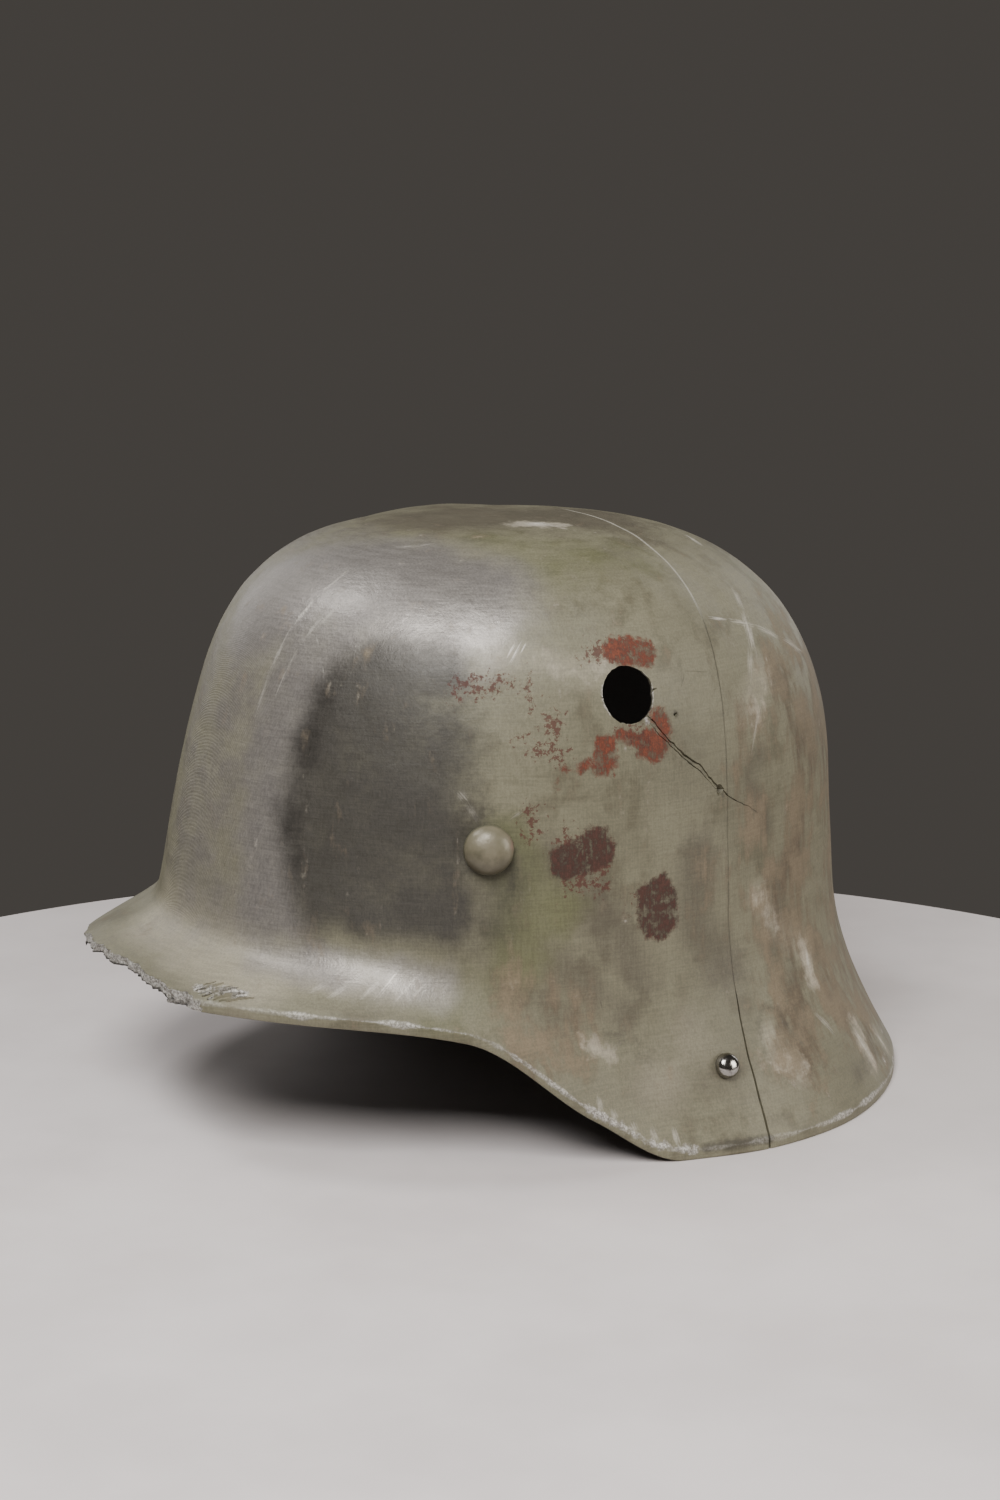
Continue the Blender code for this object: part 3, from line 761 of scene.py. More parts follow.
def peak_break():
    """The cutter of the bite out of the peak."""
    first, last = PEAK_BREAK[0].azimuth, PEAK_BREAK[-1].azimuth
    azimuth = np.linspace(first, last, BREAK_COLUMNS)
    outside = 0.05
    back = np.linspace(last, first, 12)
    rings = []
    for height in BREAK_HEIGHTS:
        front = place_at(azimuth, break_line(azimuth, height), height)
        far = place_at(back, rim_radius(back) + outside, height)
        rings.append(np.concatenate((front, far)))
    return closed_loft("peak_break", rings)


def seam_gap(z):
    """Half the width of the joint: open at the rim, nearly shut at the side, a hairline on top."""
    over = (z - cad_low.z) / MM
    knots = (0, 20, 42, 50, 75, 120, 150, 200)
    halves = (0.42, 0.36, 0.26, 0.06, 0.035, 0.035, 0.08, 0.09)
    return np.interp(over, knots, halves) * MM


def seam_face(x, z):
    """How far the joint's line strays from its plane."""
    spot = np.stack((x, 0.0 * x, z), axis=-1).reshape(-1, 3)
    strays = sum(wave.height * waves(spot, wave.size, wave.seed) for wave in SEAM_WAVES)
    return strays.reshape(x.shape) * MM


def seam_block(name, side):
    """A block on one side of the joint, its near face wavy: side is 1 for behind the joint."""
    xs = np.linspace(-0.14, 0.14, 113)
    zs = np.linspace(-0.02, 0.21, 116)
    z, x = np.meshgrid(zs, xs, indexing="ij")
    near = SEAM_Y + seam_face(x, z) - side * seam_gap(z)
    front = np.stack((x, near, z), axis=-1)
    far = np.stack((x, np.full(x.shape, SEAM_Y + side * 0.30), z), axis=-1)
    rings = [np.concatenate((a, b[::-1])) for a, b in zip(front, far)]
    return closed_loft(name, rings)


# A pin's points this near to its inner end lie on the tail's flat face or its edge
FLAT_END = 0.2 * MM


def node_points(node):
    """The points of a CAD node."""
    return np.array([v.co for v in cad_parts[node].data.vertices], float)


def find_axis(node):
    """Tip and outward axis of a pin: the skin's normal there, made square to its tail's flat end."""
    points = node_points(node)
    middle = points.mean(axis=0)
    local = Vector(middle) - CENTRE
    azimuth = math.degrees(math.atan2(local.x, -local.y))
    axis = np.array(skin_at(azimuth, down_at_height(azimuth, local.z))[1])
    for _ in range(3):
        along = points @ axis
        flat_end = points[along < along.min() + FLAT_END]
        square = np.linalg.svd(flat_end - flat_end.mean(axis=0))[2][2]
        axis = square if square @ axis > 0.0 else -square
    axis = Vector(axis)
    tip = axis * float((points @ np.array(axis)).max())
    side = axis.orthogonal().normalized()
    for way in (side, axis.cross(side)):
        span = points @ np.array(way)
        tip += way * float(span.min() + span.max()) / 2.0
    return tip, axis


def path_distance(points, path):
    """How far each point is from the line through places on the skin."""
    spots = [np.array(skin_at(*spot)[0]) for spot in path]
    best = np.full(len(points), 1.0)
    for start, end in zip(spots, spots[1:]):
        way = end - start
        t = np.clip((points - start) @ way / (way @ way), 0.0, 1.0)
        best = np.minimum(best, np.linalg.norm(points - start - t[:, None] * way, axis=1))
    return best


def inside_marks(points, marks):
    """How deep inside the nearest mark each point is, in metres, below nought outside it."""
    depths = [mark.width * MM / 2 - path_distance(points, mark.path) for mark in marks]
    return np.maximum(np.max(depths, axis=0), -0.030)


def ease(value, low, high):
    """Smooth step of a value from nought at low to one at high."""
    t = np.clip((value - low) / (high - low), 0.0, 1.0)
    return t * t * (3.0 - 2.0 * t)


def cover_of(points, areas):
    """The strongest of several soft areas at each point, nought outside them."""
    total = np.zeros(len(points))
    for area in areas:
        away = path_distance(points, area.path) / MM
        faded = ease(away, area.radius - area.soft, area.radius + area.soft)
        total = np.maximum(total, area.strength * (1.0 - faded))
    return total


def paint_attributes(thing, skin_tree):
    """Writes on each point what the paint's nodes need: depths, distances and soft areas."""
    mesh = thing.data
    count = len(mesh.vertices)
    points = np.empty(count * 3)
    mesh.vertices.foreach_get("co", points)
    points = points.reshape(-1, 3)
    normals = np.empty(count * 3)
    mesh.vertices.foreach_get("normal", normals)
    depth = np.array([skin_tree.find_nearest(Vector(p))[3] for p in points])

    local = points - np.array(CENTRE)
    azimuth = np.degrees(np.arctan2(local[:, 0], -local[:, 1]))
    row = section_at(azimuth)
    radius = np.hypot(local[:, 0], local[:, 1])
    rim_r = plan_radius(azimuth) + row.reach * BRIM_REACH
    rim_z = -row.drop * SKIRT_DROP
    rim = np.hypot(radius - rim_r, local[:, 2] - rim_z) * np.sign(local[:, 2] - rim_z)

    broken = np.full(count, 0.05)
    for turn in np.linspace(PEAK_BREAK[0].azimuth + 2.0, PEAK_BREAK[-1].azimuth - 1.5, 40):
        kept = np.interp(turn, [p.azimuth for p in PEAK_BREAK], [p.kept for p in PEAK_BREAK])
        edge_r = float(rim_radius(turn, min(kept, 1.0)))
        r, z, _ = outer_profile(np.array([turn]))
        edge = place_at(turn, edge_r, float(np.interp(edge_r, r[-BRIM_ROWS:, 0], z[-BRIM_ROWS:, 0])))
        broken = np.minimum(broken, np.linalg.norm(points - edge, axis=1))

    hole = np.array(skin_at(HOLE_AZIMUTH, down_at_height(HOLE_AZIMUTH, HOLE_HEIGHT))[0])
    crack = [Mark(0.0, tuple((p.azimuth, p.down) for p in path)) for path in (CRACK, CRACK_BRANCH)]
    values = {
        "depth": depth,
        "rim": rim,
        "seam": points[:, 1] - SEAM_Y - seam_face(points[:, 0], points[:, 2]),
        "broken": broken,
        "hole": np.linalg.norm(points - hole, axis=1) - HOLE_RADIUS,
        "crack": -inside_marks(points, crack),
        "rust": inside_marks(points, RUST_MARKS),
        "old_rust": inside_marks(points, OLD_RUST_MARKS),
        "speckle": inside_marks(points, SPECKLE_MARKS),
        # Some of these areas carry painted reflection, sheen, light and shade, as noted at their tables
        "graphite_and_dark_reflection": cover_of(points, GRAPHITE_AND_DARK_REFLECTION_AREAS),
        "silver_and_sheen": cover_of(points, SILVER_AND_SHEEN_AREAS),
        "dust": cover_of(points, DUST_AREAS),
        "green": cover_of(points, GREEN_AREAS),
        "pale": cover_of(points, PALE_AREAS),
        "dull_and_shade": cover_of(points, DULL_AND_SHADE_AREAS),
        "light": cover_of(points, PAINTED_LIGHT_AND_PALE_AREAS),
        "dirt_and_shadow": cover_of(points, DIRT_AND_SHADOW_AREAS),
        "bare": cover_of(points, BARE_AREAS),
        "ridge": cover_of(points, RIDGE_HIGHLIGHT_AREAS),
        "facing": ease(-normals.reshape(-1, 3)[:, 1], 0.80, 0.97),
    }
    for name, value in values.items():
        layer = mesh.attributes.new(name, "FLOAT", "POINT")
        layer.data.foreach_set("value", value.astype(np.float32))


class Paint:
    """Short calls that add nodes to a material and link them."""

    def __init__(self, name):
        self.material = bpy.data.materials.new(name)
        self.material.use_nodes = True
        self.nodes = self.material.node_tree.nodes
        self.links = self.material.node_tree.links
        self.surface = self.nodes["Principled BSDF"]
        self.place = self.nodes.new("ShaderNodeTexCoord").outputs["Object"]

    def put(self, socket, value):
        """Links a socket into another, or sets a plain value."""
        if isinstance(value, bpy.types.NodeSocket):
            self.links.new(value, socket)
        elif isinstance(value, tuple) and len(value) == 3 and socket.type == "RGBA":
            socket.default_value = (*value, 1.0)
        else:
            socket.default_value = value

    def attribute(self, name):
        node = self.nodes.new("ShaderNodeAttribute")
        node.attribute_name = name
        return node.outputs["Fac"]

    def math(self, operation, *values):
        node = self.nodes.new("ShaderNodeMath")
        node.operation = operation
        for socket, value in zip(node.inputs, values):
            self.put(socket, value)
        return node.outputs[0]

    def add(self, first, second):
        return self.math("ADD", first, second)

    def times(self, first, second):
        return self.math("MULTIPLY", first, second)

    def most(self, most, *others):
        """The highest of several values."""
        for other in others:
            most = self.math("MAXIMUM", most, other)
        return most

    def area(self, name, uneven, low, high):
        """Cover of the marks or soft areas of one kind, their edge broken up."""
        return self.ease(self.add(self.attribute(name), uneven), low, high)

    def lay(self, cover, share, below, above):
        """A colour laid over another where a cover says, at a share of its strength."""
        return self.mix(self.times(cover, share), below, above)

    def ease(self, value, low, high, to_low=0.0, to_high=1.0):
        node = self.nodes.new("ShaderNodeMapRange")
        node.interpolation_type = "SMOOTHSTEP"
        for name, number in (("From Min", low), ("From Max", high), ("To Min", to_low), ("To Max", to_high)):
            node.inputs[name].default_value = number
        self.put(node.inputs["Value"], value)
        return node.outputs["Result"]

    def part(self, axis):
        node = self.nodes.new("ShaderNodeSeparateXYZ")
        self.put(node.inputs[0], self.place)
        return node.outputs[axis]

    def stretched(self, scale):
        node = self.nodes.new("ShaderNodeMapping")
        node.inputs["Scale"].default_value = scale
        self.put(node.inputs["Vector"], self.place)
        return node.outputs["Vector"]

    def framed(self, middle, turn, sizes):
        """Coordinates in a turned frame about a middle, counted in the given sizes."""
        node = self.nodes.new("ShaderNodeMapping")
        node.vector_type = "TEXTURE"
        self.put(node.inputs["Vector"], self.place)
        for name, value in (("Location", middle), ("Rotation", turn), ("Scale", sizes)):
            self.put(node.inputs[name], value)
        return node.outputs["Vector"]

    def ball(self, vector):
        """One at a frame's middle, falling to nought at a distance of one."""
        node = self.nodes.new("ShaderNodeTexGradient")
        node.gradient_type = "SPHERICAL"
        self.put(node.inputs["Vector"], vector)
        return node.outputs["Fac"]

    def noise(self, size, detail=4.0, roughness=0.55, vector=None, distortion=0.0):
        """Noise from 0 to 1 whose features are about size metres across."""
        node = self.nodes.new("ShaderNodeTexNoise")
        self.put(node.inputs["Vector"], vector or self.place)
        node.inputs["Scale"].default_value = 1.0 / size
        node.inputs["Detail"].default_value = detail
        node.inputs["Roughness"].default_value = roughness
        node.inputs["Distortion"].default_value = distortion
        return node.outputs["Fac"]

    def mix(self, factor, below, above):
        node = self.nodes.new("ShaderNodeMix")
        node.data_type = "RGBA"
        self.put(node.inputs["Factor"], factor)
        self.put(node.inputs[6], below)
        self.put(node.inputs[7], above)
        return node.outputs[2]

    def tint(self, colour, factor):
        """A colour made darker or lighter by a factor."""
        node = self.nodes.new("ShaderNodeVectorMath")
        node.operation = "SCALE"
        self.put(node.inputs[0], colour)
        self.put(node.inputs["Scale"], factor)
        return node.outputs["Vector"]

    def blend(self, factor, below, above):
        node = self.nodes.new("ShaderNodeMix")
        self.put(node.inputs["Factor"], factor)
        self.put(node.inputs[2], below)
        self.put(node.inputs[3], above)
        return node.outputs[0]

    def bump(self, height, distance, normal=None):
        node = self.nodes.new("ShaderNodeBump")
        node.inputs["Distance"].default_value = distance
        node.inputs["Strength"].default_value = 1.0
        self.put(node.inputs["Height"], height)
        if normal:
            self.links.new(normal, node.inputs["Normal"])
        return node.outputs["Normal"]


def add_strokes(paint, strokes):
    """The strongest cover of all the strokes at a point, each a long ellipsoid of fine hairs."""
    total = 0.0
    for count, stroke in enumerate(strokes):
        start, normal, _ = skin_at(stroke.azimuth, stroke.down)
        end, end_normal, _ = skin_at(stroke.to_azimuth, stroke.to_down)
        way = end - start
        across = (normal + end_normal).cross(way).normalized()
        along = way.normalized()
        turn = Matrix((along, across, along.cross(across))).transposed().to_euler()
        half_sizes = (way.length / 2.0, stroke.width * MM / 2.0, STROKE_DEPTH)
        body = paint.ball(paint.framed((start + end) / 2.0, turn, half_sizes))
        hairs = paint.noise(1.0, 3.0, 0.6, vector=paint.framed(start - way * count, turn, HAIR_SIZES))
        solid = paint.times(paint.math("POWER", body, 0.5), 0.62)
        cover = paint.ease(paint.add(solid, paint.times(hairs, 1.15)), 0.86, 1.30)
        faded = paint.math("MINIMUM", paint.times(body, 4.0), stroke.strength)
        total = paint.most(total, paint.times(cover, faded))
    return total


def shell_material():
    """Olive paint rubbed with graphite, dusty behind, rusted, scuffed and bare at its edges, with painted
    sheen, a painted dark reflection, painted light and painted shade.
    """
    p = Paint("worn_olive_paint")

    def swing(value, size):
        """A noise value as an offset either side of nought."""
        return p.times(p.math("SUBTRACT", value, 0.5), size)

    wide = p.noise(0.050, 3.0, 0.55)
    mid = p.noise(0.013, 5.0, 0.60)
    fine = p.noise(0.0032, 6.0, 0.65)
    grit = p.noise(0.0007, 3.0, 0.70)
    level = p.noise(0.0006, 3.0, 0.60, vector=p.stretched((0.06, 0.06, 1.0)))
    upright = p.noise(0.0006, 3.0, 0.60, vector=p.stretched((1.0, 1.0, 0.05)))
    runs = p.noise(0.0045, 4.0, 0.60, vector=p.stretched((1.0, 1.0, 0.13)))
    hatch = p.times(p.add(level, upright), 0.5)

    olive = p.mix(p.ease(wide, 0.35, 0.65), (0.170, 0.159, 0.107), (0.134, 0.125, 0.083))
    olive = p.mix(p.ease(mid, 0.48, 0.68, 0.0, 0.65), olive, (0.085, 0.075, 0.047))
    olive = p.mix(p.ease(runs, 0.52, 0.75, 0.0, 0.30), olive, (0.114, 0.099, 0.066))
    cloudy = p.add(swing(mid, 0.8), swing(runs, 0.6))
    # Darker duller paint, and painted shade along the crown
    dull_and_shade = p.area("dull_and_shade", cloudy, 0.15, 1.0)
    olive = p.lay(dull_and_shade, 0.85, olive, (0.078, 0.068, 0.048))
    # Lighter olive: partly painted light and a painted highlight, partly paler paint
    light = p.area("light", swing(mid, 0.9), 0.10, 1.0)
    olive = p.lay(light, 0.85, olive, (0.290, 0.265, 0.197))
    green = p.area("green", swing(mid, 1.2), 0.20, 1.0)
    olive = p.lay(green, 0.75, olive, (0.112, 0.115, 0.055))

    # Lilac-grey silver coat with a painted sheen
    silver_and_sheen = p.area("silver_and_sheen", swing(mid, 0.9), 0.10, 1.0)
    colour = p.lay(silver_and_sheen, 0.85, olive, (0.240, 0.223, 0.210))
    uneven = p.add(swing(mid, 0.60), p.add(swing(wide, 0.5), swing(fine, 0.35)))
    # Graphite rub, darkened further as a painted dark reflection of the surroundings
    graphite_and_dark_reflection = p.area("graphite_and_dark_reflection", uneven, 0.12, 1.05)
    colour = p.lay(graphite_and_dark_reflection, 0.94, colour, (0.046, 0.042, 0.036))

    dusty = p.add(swing(mid, 2.0), swing(runs, 1.8))
    dust = p.area("dust", dusty, 0.25, 0.90)
    dust_colour = p.mix(p.ease(mid, 0.35, 0.65), (0.084, 0.061, 0.038), (0.180, 0.141, 0.092))
    colour = p.lay(dust, 0.80, colour, dust_colour)
    rubbed = p.add(swing(fine, 1.4), swing(runs, 1.6))
    pale = p.area("pale", rubbed, 0.25, 1.0)
    colour = p.lay(pale, 0.75, colour, (0.370, 0.335, 0.265))

    ragged = p.add(swing(p.noise(0.0040, 7.0, 0.74, distortion=0.5), 0.0085), swing(upright, 0.0012))
    rust_depth = p.add(p.attribute("rust"), ragged)
    rust = p.ease(rust_depth, -0.0006, 0.0014)
    ragged_old = p.add(swing(p.noise(0.0046, 7.0, 0.74), 0.0095), swing(upright, 0.0014))
    old = p.area("old_rust", ragged_old, -0.0007, 0.0013)
    broken_up = p.times(p.math("SUBTRACT", p.noise(0.0022, 6.0, 0.75), 0.57), 0.040)
    speckle = p.area("speckle", broken_up, -0.0004, 0.0012)
    blotch = p.noise(0.0030, 6.0, 0.70)
    grain = p.add(swing(blotch, 2.2), p.add(swing(upright, 0.8), swing(grit, 0.4)))
    thin = p.ease(grain, -0.45, 0.12, 0.34, 1.0)
    ring = p.ease(rust_depth, 0.0020, 0.0004)
    rust_colour = p.mix(p.ease(grain, -0.35, 0.45), (0.048, 0.012, 0.007), (0.158, 0.043, 0.021))
    rust_colour = p.lay(ring, 0.45, rust_colour, (0.075, 0.014, 0.008))
    old_colour = p.mix(p.ease(grain, -0.35, 0.45), (0.020, 0.009, 0.006), (0.064, 0.026, 0.018))
    colour = p.lay(speckle, 0.80, colour, (0.070, 0.019, 0.013))
    colour = p.mix(p.times(old, thin), colour, old_colour)
    colour = p.mix(p.times(rust, thin), colour, rust_colour)
    stained = p.most(rust, old, speckle)

    scuffs = add_strokes(p, STROKES)
    colour = p.mix(scuffs, colour, (0.55, 0.52, 0.46))
    hairlines = add_strokes(p, HAIRLINES)

    seam = p.math("ABSOLUTE", p.attribute("seam"))
    seam_dirt = p.ease(p.add(seam, p.times(fine, 0.0012)), 0.0013, 0.0005, 0.0, 0.6)
    crack_dirt = p.ease(p.add(p.attribute("crack"), p.times(fine, 0.0016)), 0.0016, 0.0008)
    # Dirt marks, with the vent lug's painted shadow among them
    marks = p.area("dirt_and_shadow", swing(fine, 1.2), 0.25, 0.95)
    dirt_and_shadow = p.most(seam_dirt, crack_dirt, marks, hairlines)
    colour = p.lay(dirt_and_shadow, 0.72, colour, (0.040, 0.035, 0.026))

    depth = p.attribute("depth")
    worn = p.add(p.math("ABSOLUTE", p.attribute("rim")), swing(mid, 0.0050))
    patchy = p.ease(wide, 0.38, 0.60, 0.25, 1.0)
    near_rim = p.times(p.ease(worn, 0.0011, 0.0001, 0.0, 0.75), patchy)
    cut = p.ease(depth, 0.0001, 0.0004)
    break_face = p.times(p.ease(p.attribute("broken"), 0.0060, 0.0050), cut)
    chipped = p.add(p.attribute("broken"), p.times(fine, 0.0040))
    near_break = p.most(break_face, p.ease(chipped, 0.0030, 0.0020, 0.0, 0.8))
    near_hole = p.ease(p.add(p.attribute("hole"), p.times(fine, 0.0026)), 0.0015, 0.0006)
    rubbed_bare = p.area("bare", rubbed, 0.40, 0.90)
    bare = p.most(near_rim, near_break, near_hole, rubbed_bare)
    grains = p.noise(0.0009, 4.0, 0.75)
    bare_colour = p.mix(p.ease(grains, 0.38, 0.64), (0.200, 0.190, 0.170), (0.640, 0.620, 0.580))
    colour = p.lay(bare, 0.88, colour, bare_colour)
    # Painted highlight along the joint's ridge
    ridge = p.times(p.attribute("ridge"), p.ease(seam, 0.0007, 0.0002))
    colour = p.mix(ridge, colour, (0.42, 0.40, 0.34))
    # Painted shade: the inner face and the deep part of the cut walls are coloured near black
    inside = p.ease(depth, 0.0024, 0.0031)
    colour = p.mix(inside, colour, (0.030, 0.027, 0.023))
    shade = p.ease(p.add(hatch, swing(grit, 0.7)), 0.30, 0.70, 0.84, 1.14)
    colour = p.tint(colour, shade)
    p.put(p.surface.inputs["Base Color"], colour)

    metal = p.most(p.times(graphite_and_dark_reflection, 0.20), p.times(silver_and_sheen, 0.48))
    matt = p.most(stained, dust, inside, pale)
    metal = p.times(metal, p.math("SUBTRACT", 1.0, matt))
    metal = p.most(metal, p.times(bare, 0.55))
    p.put(p.surface.inputs["Metallic"], metal)
    rough = p.blend(silver_and_sheen, p.blend(graphite_and_dark_reflection, 0.54, 0.55), 0.39)
    rough = p.blend(matt, rough, 0.68)
    rough = p.add(rough, p.add(swing(fine, 0.16), swing(hatch, 0.30)))
    p.put(p.surface.inputs["Roughness"], rough)
    p.surface.inputs["Specular IOR Level"].default_value = 0.38

    normal = p.bump(hatch, 0.00009)
    normal = p.bump(mid, 0.0005, normal=normal)
    normal = p.bump(grit, 0.00004, normal=normal)
    layers = p.math("SINE", p.times(p.part("Y"), math.tau / LAYER_STEP))
    normal = p.bump(p.times(layers, p.attribute("facing")), 0.00002, normal=normal)
    normal = p.bump(p.times(break_face, grains), 0.0010, normal=normal)
    p.put(p.surface.inputs["Normal"], normal)
    return p.material


def lug_material():
    """The vent lug's paler paint, with painted shade at its foot and darker towards its underside."""
    p = Paint("lug_olive_paint")
    fine = p.noise(0.0020, 5.0, 0.6)
    mid = p.noise(0.007, 4.0, 0.6)
    colour = p.mix(p.ease(mid, 0.35, 0.65), (0.185, 0.165, 0.115), (0.150, 0.136, 0.090))
    cloudy = p.times(p.math("SUBTRACT", mid, 0.5), 1.6)
    # Darker towards the lug's underside
    darker_below = p.area("low", cloudy, -0.15, 0.75)
    colour = p.lay(darker_below, 0.80, colour, (0.066, 0.058, 0.036))
    # Painted shade in the crease at the lug's foot
    foot = p.ease(p.add(p.attribute("foot"), p.times(fine, 0.0024)), 0.0036, 0.0014)
    colour = p.lay(foot, 0.7, colour, (0.050, 0.055, 0.030))
    spot = p.ease(p.add(p.attribute("spot"), p.times(fine, 0.003)), 0.0052, 0.0034)
    colour = p.lay(spot, 0.65, colour, (0.30, 0.19, 0.155))
    p.put(p.surface.inputs["Base Color"], colour)
    p.put(p.surface.inputs["Roughness"], p.ease(fine, 0.2, 0.8, 0.30, 0.48))
    p.surface.inputs["Metallic"].default_value = 0.15
    p.put(p.surface.inputs["Normal"], p.bump(fine, 0.00012))
    return p.material


def rivet_material():
    """Dark polished steel with fine scratches."""
    p = Paint("polished_dark_steel")
    fine = p.noise(0.0012, 5.0, 0.6)
    colour = p.mix(p.ease(fine, 0.45, 0.7), (0.36, 0.35, 0.33), (0.20, 0.19, 0.18))
    p.put(p.surface.inputs["Base Color"], colour)
    p.put(p.surface.inputs["Roughness"], p.ease(fine, 0.3, 0.7, 0.10, 0.24))
    p.surface.inputs["Metallic"].default_value = 1.0
    p.put(p.surface.inputs["Normal"], p.bump(fine, 0.00005))
    return p.material


def turned(name, tip, axis, rows, steps=72):
    """A closed piece turned about an axis through a tip: rows of (depth under the tip, radius)."""
    side = axis.orthogonal().normalized()
    other = axis.cross(side)
    rings = []
    for depth, radius in rows:
        turns = [math.tau * k / steps for k in range(steps)]
        rings.append(
            [tip - axis * depth + (side * math.cos(t) + other * math.sin(t)) * radius for t in turns]
        )
    thing = closed_loft(name, rings)
    thing.data.shade_smooth()
    thing.data.set_sharp_from_angle(angle=math.radians(40.0))
    return thing


def cap_rows(radius, height, count=14, power=2.3):
    """Rows of a domed head, a rounded square in section."""
    rows = [(0.0, 0.02 * radius)]
    for k in range(1, count + 1):
        angle = math.pi / 2 * k / count
        across = math.sin(angle) ** (2.0 / power) * radius
        rows.append((height * (1.0 - math.cos(angle) ** (2.0 / power)), across))
    return rows


def pin_rows(head, shank, tail, skin_depth):
    """Rows of a head with a rolled foot, a shank and a flattened tail behind the wall."""
    radius, height = head
    rows = cap_rows(radius, height)
    rows.append((height + 0.10 * MM, radius - 0.05 * MM))
    rows.append((height + 0.16 * MM, radius - 0.30 * MM))
    rows.append((height + 0.16 * MM, shank))
    tail_radius, tail_height = tail
    over = skin_depth
    rows += [(over, shank), (over, tail_radius - 0.3 * MM), (over + 0.25 * MM, tail_radius)]
    rows += [(over + tail_height - 0.3 * MM, tail_radius), (over + tail_height, tail_radius - 0.35 * MM)]
    return rows


LUG_HEAD = (7.8 * MM, 5.4 * MM)
LUG_SHANK = 3.5 * MM
LUG_TAIL = (5.5 * MM, 1.6 * MM)
RIVET_HEAD = (4.1 * MM, 3.4 * MM)
RIVET_SHANK = 1.8 * MM
RIVET_TAIL = (3.0 * MM, 1.2 * MM)


def add_pins():
    """The lugs and rivets, each turned round its CAD node's own axis, and the bores for them."""
    bores = []
    lug, steel = lug_material(), rivet_material()
    kinds = (
        ("vent_lug", LUG_HEAD, LUG_SHANK, LUG_TAIL, lug, "lug_paint"),
        ("strap_rivet", RIVET_HEAD, RIVET_SHANK, RIVET_TAIL, steel, "polished_steel"),
    )
    for kind, head, shank, tail, material, slot in kinds:
        for side in ("left", "right"):
            node = kind + "_" + side
            tip, axis = find_axis(node)
            depths = (np.array(tip) - node_points(node)) @ np.array(axis)
            under_tail = depths.max() - tail[1]
            thing = turned(node + "_fine", tip, axis, pin_rows(head, shank, tail, under_tail))
            thing.data.materials.append(material)
            if kind == "vent_lug":
                # Attributes for the lug's paint: foot for the painted shade at its foot, low for darkening
                # towards its underside, spot for a pinkish speck
                places = np.array([v.co for v in thing.data.vertices], float)
                foot = head[1] - (np.array(tip) - places) @ np.array(axis)
                spot = tip + Vector((0.0, 1.0, 0.15)) * 6.0 * MM - axis * 2.6 * MM
                away = np.linalg.norm(places - np.array(spot), axis=1)
                low = (tip.z - places[:, 2]) / head[0]
                for name, value in (("foot", foot), ("spot", away), ("low", low)):
                    layer = thing.data.attributes.new(name, "FLOAT", "POINT")
                    layer.data.foreach_set("value", value.astype(np.float32))
            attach(thing, "root")
            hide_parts(node)
            middle = tip - axis * (head[1] + WALL / 2)
            rows = ((6.0 * MM, shank + 0.3 * MM), (-6.0 * MM, shank + 0.3 * MM))
            bores.append(bore(node + "_bore", middle, axis, (1.0,) * 40, rows))
    return bores


def build_shells(bores):
    """The two fine shell parts, cut from one blank."""
    blank = build_blank()
    skin = BVHTree.FromPolygons(*outer_skin_mesh())
    cutters = bores + [shot_hole(), peak_break()]
    cutters += [groove("crack", CRACK, 51), groove("crack_branch", CRACK_BRANCH, 52)]
    cutters += [groove(f"gouge_{k}", path, 60 + k) for k, path in enumerate(GOUGES + NICKS)]
    cutters += [pit(f"pit_{k}", spot, 71 + k) for k, spot in enumerate(PITS)]
    burrs = [groove(f"burr_{k}", path, 90 + k, sense=-1) for k, path in enumerate(BURRS)]
    carve(blank, cutters)
    carve(blank, burrs, "UNION")
    paint = shell_material()
    for name, side, node, slot in (
        ("shell_front", 1.0, "front_shell", "shell_paint"),
        ("shell_rear", -1.0, "rear_shell", "shell_paint_rear"),
    ):
        shell = bpy.data.objects.new(name, blank.data.copy())
        bpy.context.scene.collection.objects.link(shell)
        carve(shell, [seam_block("seam_block", side)])
        shell.data.name = name
        shell.data.materials.clear()
        shell.data.materials.append(paint)
        shell.data.shade_smooth()
        shell.data.set_sharp_from_angle(angle=math.radians(38.0))
        paint_attributes(shell, skin)
        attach(shell, "root")
        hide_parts(node)
    bpy.data.objects.remove(blank)


def outer_skin_mesh():
    """Points and faces of the even outer skin and its rim band, to measure depths from."""
    azimuth = np.arange(240) * 1.5
    radius, height, down = outer_profile(azimuth)
    share = np.linspace(0.0, 1.0, 120)[1:, None]
    r = resample(down, radius, share * down[-1])
    z = resample(down, height, share * down[-1])
    r = np.concatenate((np.zeros((1, 240)), r, r[-1:]))
    z = np.concatenate((np.full((1, 240), DOME_RISE), z, z[-1:] - RIM_BAND))
    points = place_at(azimuth, r, z).reshape(-1, 3)
    return [Vector(p) for p in points], ring_faces(len(r), 240)


# The floor's disc: its centre, and rows of depth and radius down its edge
FLOOR_CENTRE = (0.078, -0.045, 0.0)
FLOOR_ROWS = ((0.0, 0.338), (0.0015, 0.340), (0.014, 0.340), (0.016, 0.336))


def plain_floor():
    """A round pale table top that ends close behind the helmet."""
    floor = turned("floor", Vector(FLOOR_CENTRE), Vector((0.0, 0.0, 1.0)), FLOOR_ROWS, steps=256)
    p = Paint("pale_floor")
    colour = p.mix(p.ease(p.noise(0.09, 4.0, 0.6), 0.35, 0.7), (0.74, 0.69, 0.68), (0.66, 0.61, 0.60))
    p.put(p.surface.inputs["Base Color"], colour)
    p.surface.inputs["Roughness"].default_value = 0.6
    floor.data.materials.append(p.material)


def look_at(thing, place, target):
    """Puts a light or camera at a place, turned to a target."""
    thing.location = place
    thing.rotation_euler = (Vector(target) - Vector(place)).to_track_quat("-Z", "Y").to_euler()
    bpy.context.scene.collection.objects.link(thing)


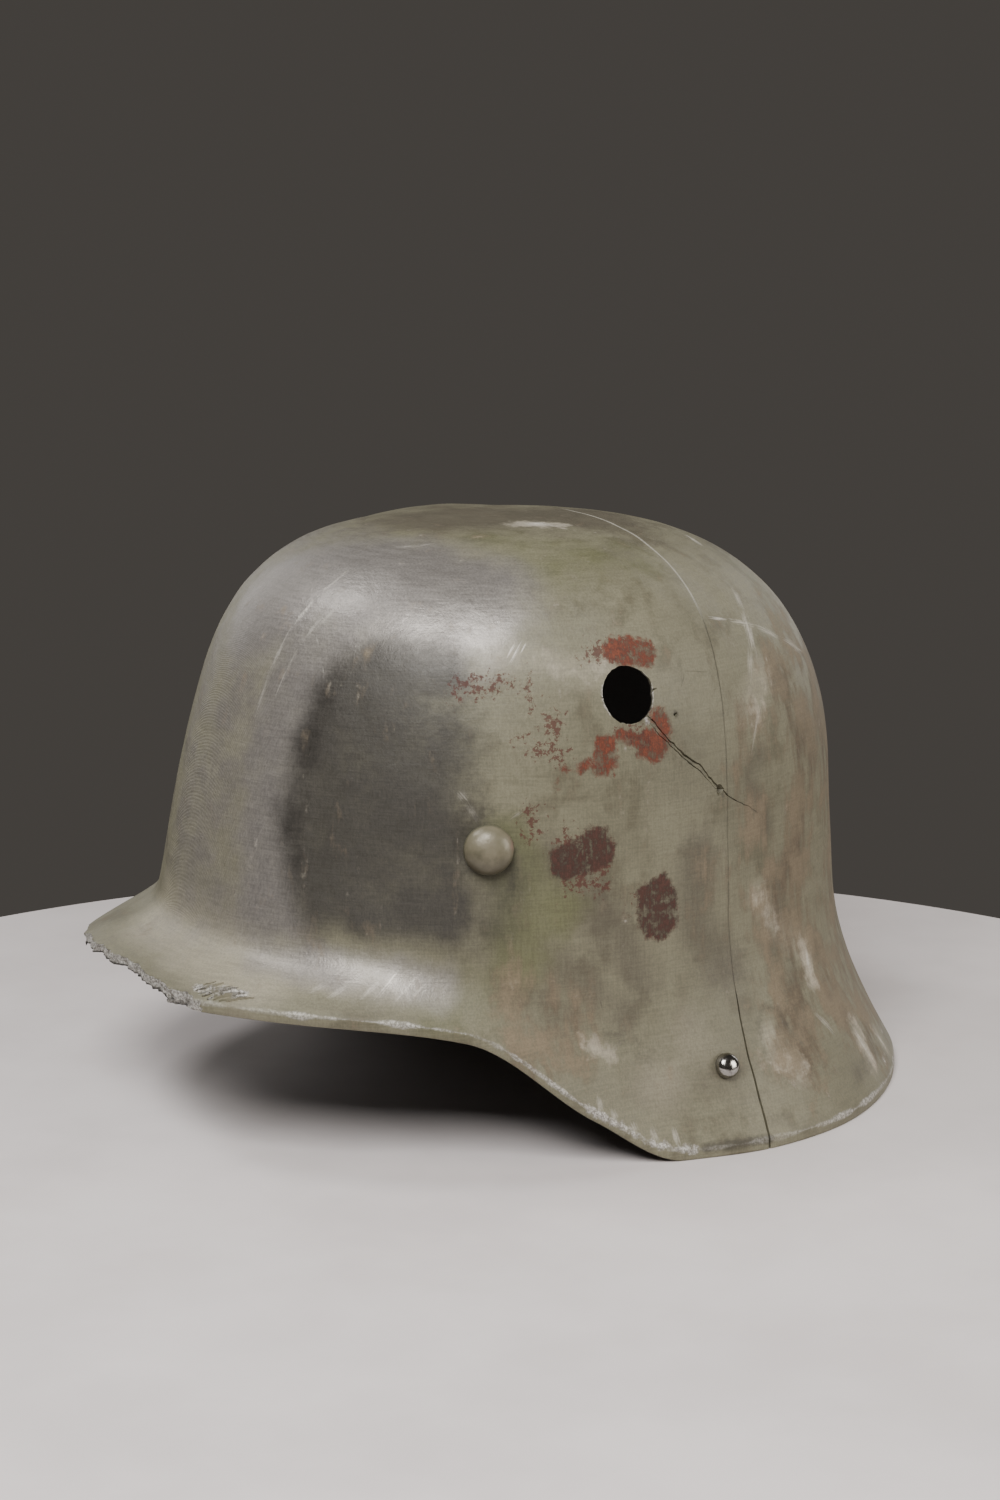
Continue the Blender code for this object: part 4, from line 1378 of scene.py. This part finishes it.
# The large square lamps: places and sizes in metres, power in watts
Lamp = namedtuple("Lamp", "name place size power colour")
LAMPS = table(
    Lamp,
    ("key", (0.73, -0.69, 1.12), 0.70, 27.0, (1.0, 0.985, 0.97)),
    ("top", (-0.42, -0.60, 1.20), 0.34, 6.0, (1.0, 0.985, 0.985)),
    ("side", (1.10, 0.95, 0.52), 0.70, 12.0, (1.0, 0.95, 0.89)),
    ("right", (-1.25, -0.20, 0.55), 0.80, 2.6, (1.0, 0.98, 0.96)),
    ("behind", (-0.45, 1.25, 0.45), 0.80, 4.0, (1.0, 0.98, 0.96)),
)
LAMP_TARGET = (0.0, 0.0, 0.10)
SURROUNDINGS = (0.064, 0.058, 0.052)


def studio():
    """Plain dark surroundings, one large lamp from the left and weaker ones round the helmet."""
    world = bpy.data.worlds.new("studio")
    bpy.context.scene.world = world
    world.use_nodes = True
    world.node_tree.nodes["Background"].inputs["Color"].default_value = (*SURROUNDINGS, 1.0)
    for row in LAMPS:
        lamp = bpy.data.lights.new(row.name, "AREA")
        lamp.shape = "SQUARE"
        lamp.size = row.size
        lamp.energy = row.power
        lamp.color = row.colour
        look_at(bpy.data.objects.new(row.name, lamp), row.place, LAMP_TARGET)


# The photograph's camera: where it stands as seen from its pivot, which lies over the dome's centre
CAMERA_AZIMUTH = math.radians(60.0)
CAMERA_ELEVATION = math.radians(12.9)
CAMERA_DISTANCE = 0.95
CAMERA_LENS = 66.53
CAMERA_SENSOR = 36.0
PIVOT_RISE = 0.030
AIM_RISE = 0.0082


def photo_camera():
    """The camera at the photograph's place and lens, for a frame of 1000 x 1500."""
    azimuth, elevation = CAMERA_AZIMUTH, CAMERA_ELEVATION
    away = Vector(
        (
            math.sin(azimuth) * math.cos(elevation),
            -math.cos(azimuth) * math.cos(elevation),
            math.sin(elevation),
        )
    )
    pivot = CENTRE + Vector((0.0, 0.0, PIVOT_RISE))
    place = pivot + away * CAMERA_DISTANCE
    right = Vector((math.cos(azimuth), math.sin(azimuth), 0.0))
    up = away.cross(right)
    camera = bpy.data.cameras.new("camera")
    camera.sensor_fit = "VERTICAL"
    camera.sensor_height = CAMERA_SENSOR
    camera.lens = CAMERA_LENS
    camera.clip_start = 0.01
    thing = bpy.data.objects.new("camera", camera)
    look_at(thing, place, pivot + up * AIM_RISE)
    bpy.context.scene.camera = thing


photo_camera()
studio()
plain_floor()
build_shells(add_pins())
bpy.context.view_layer.update()
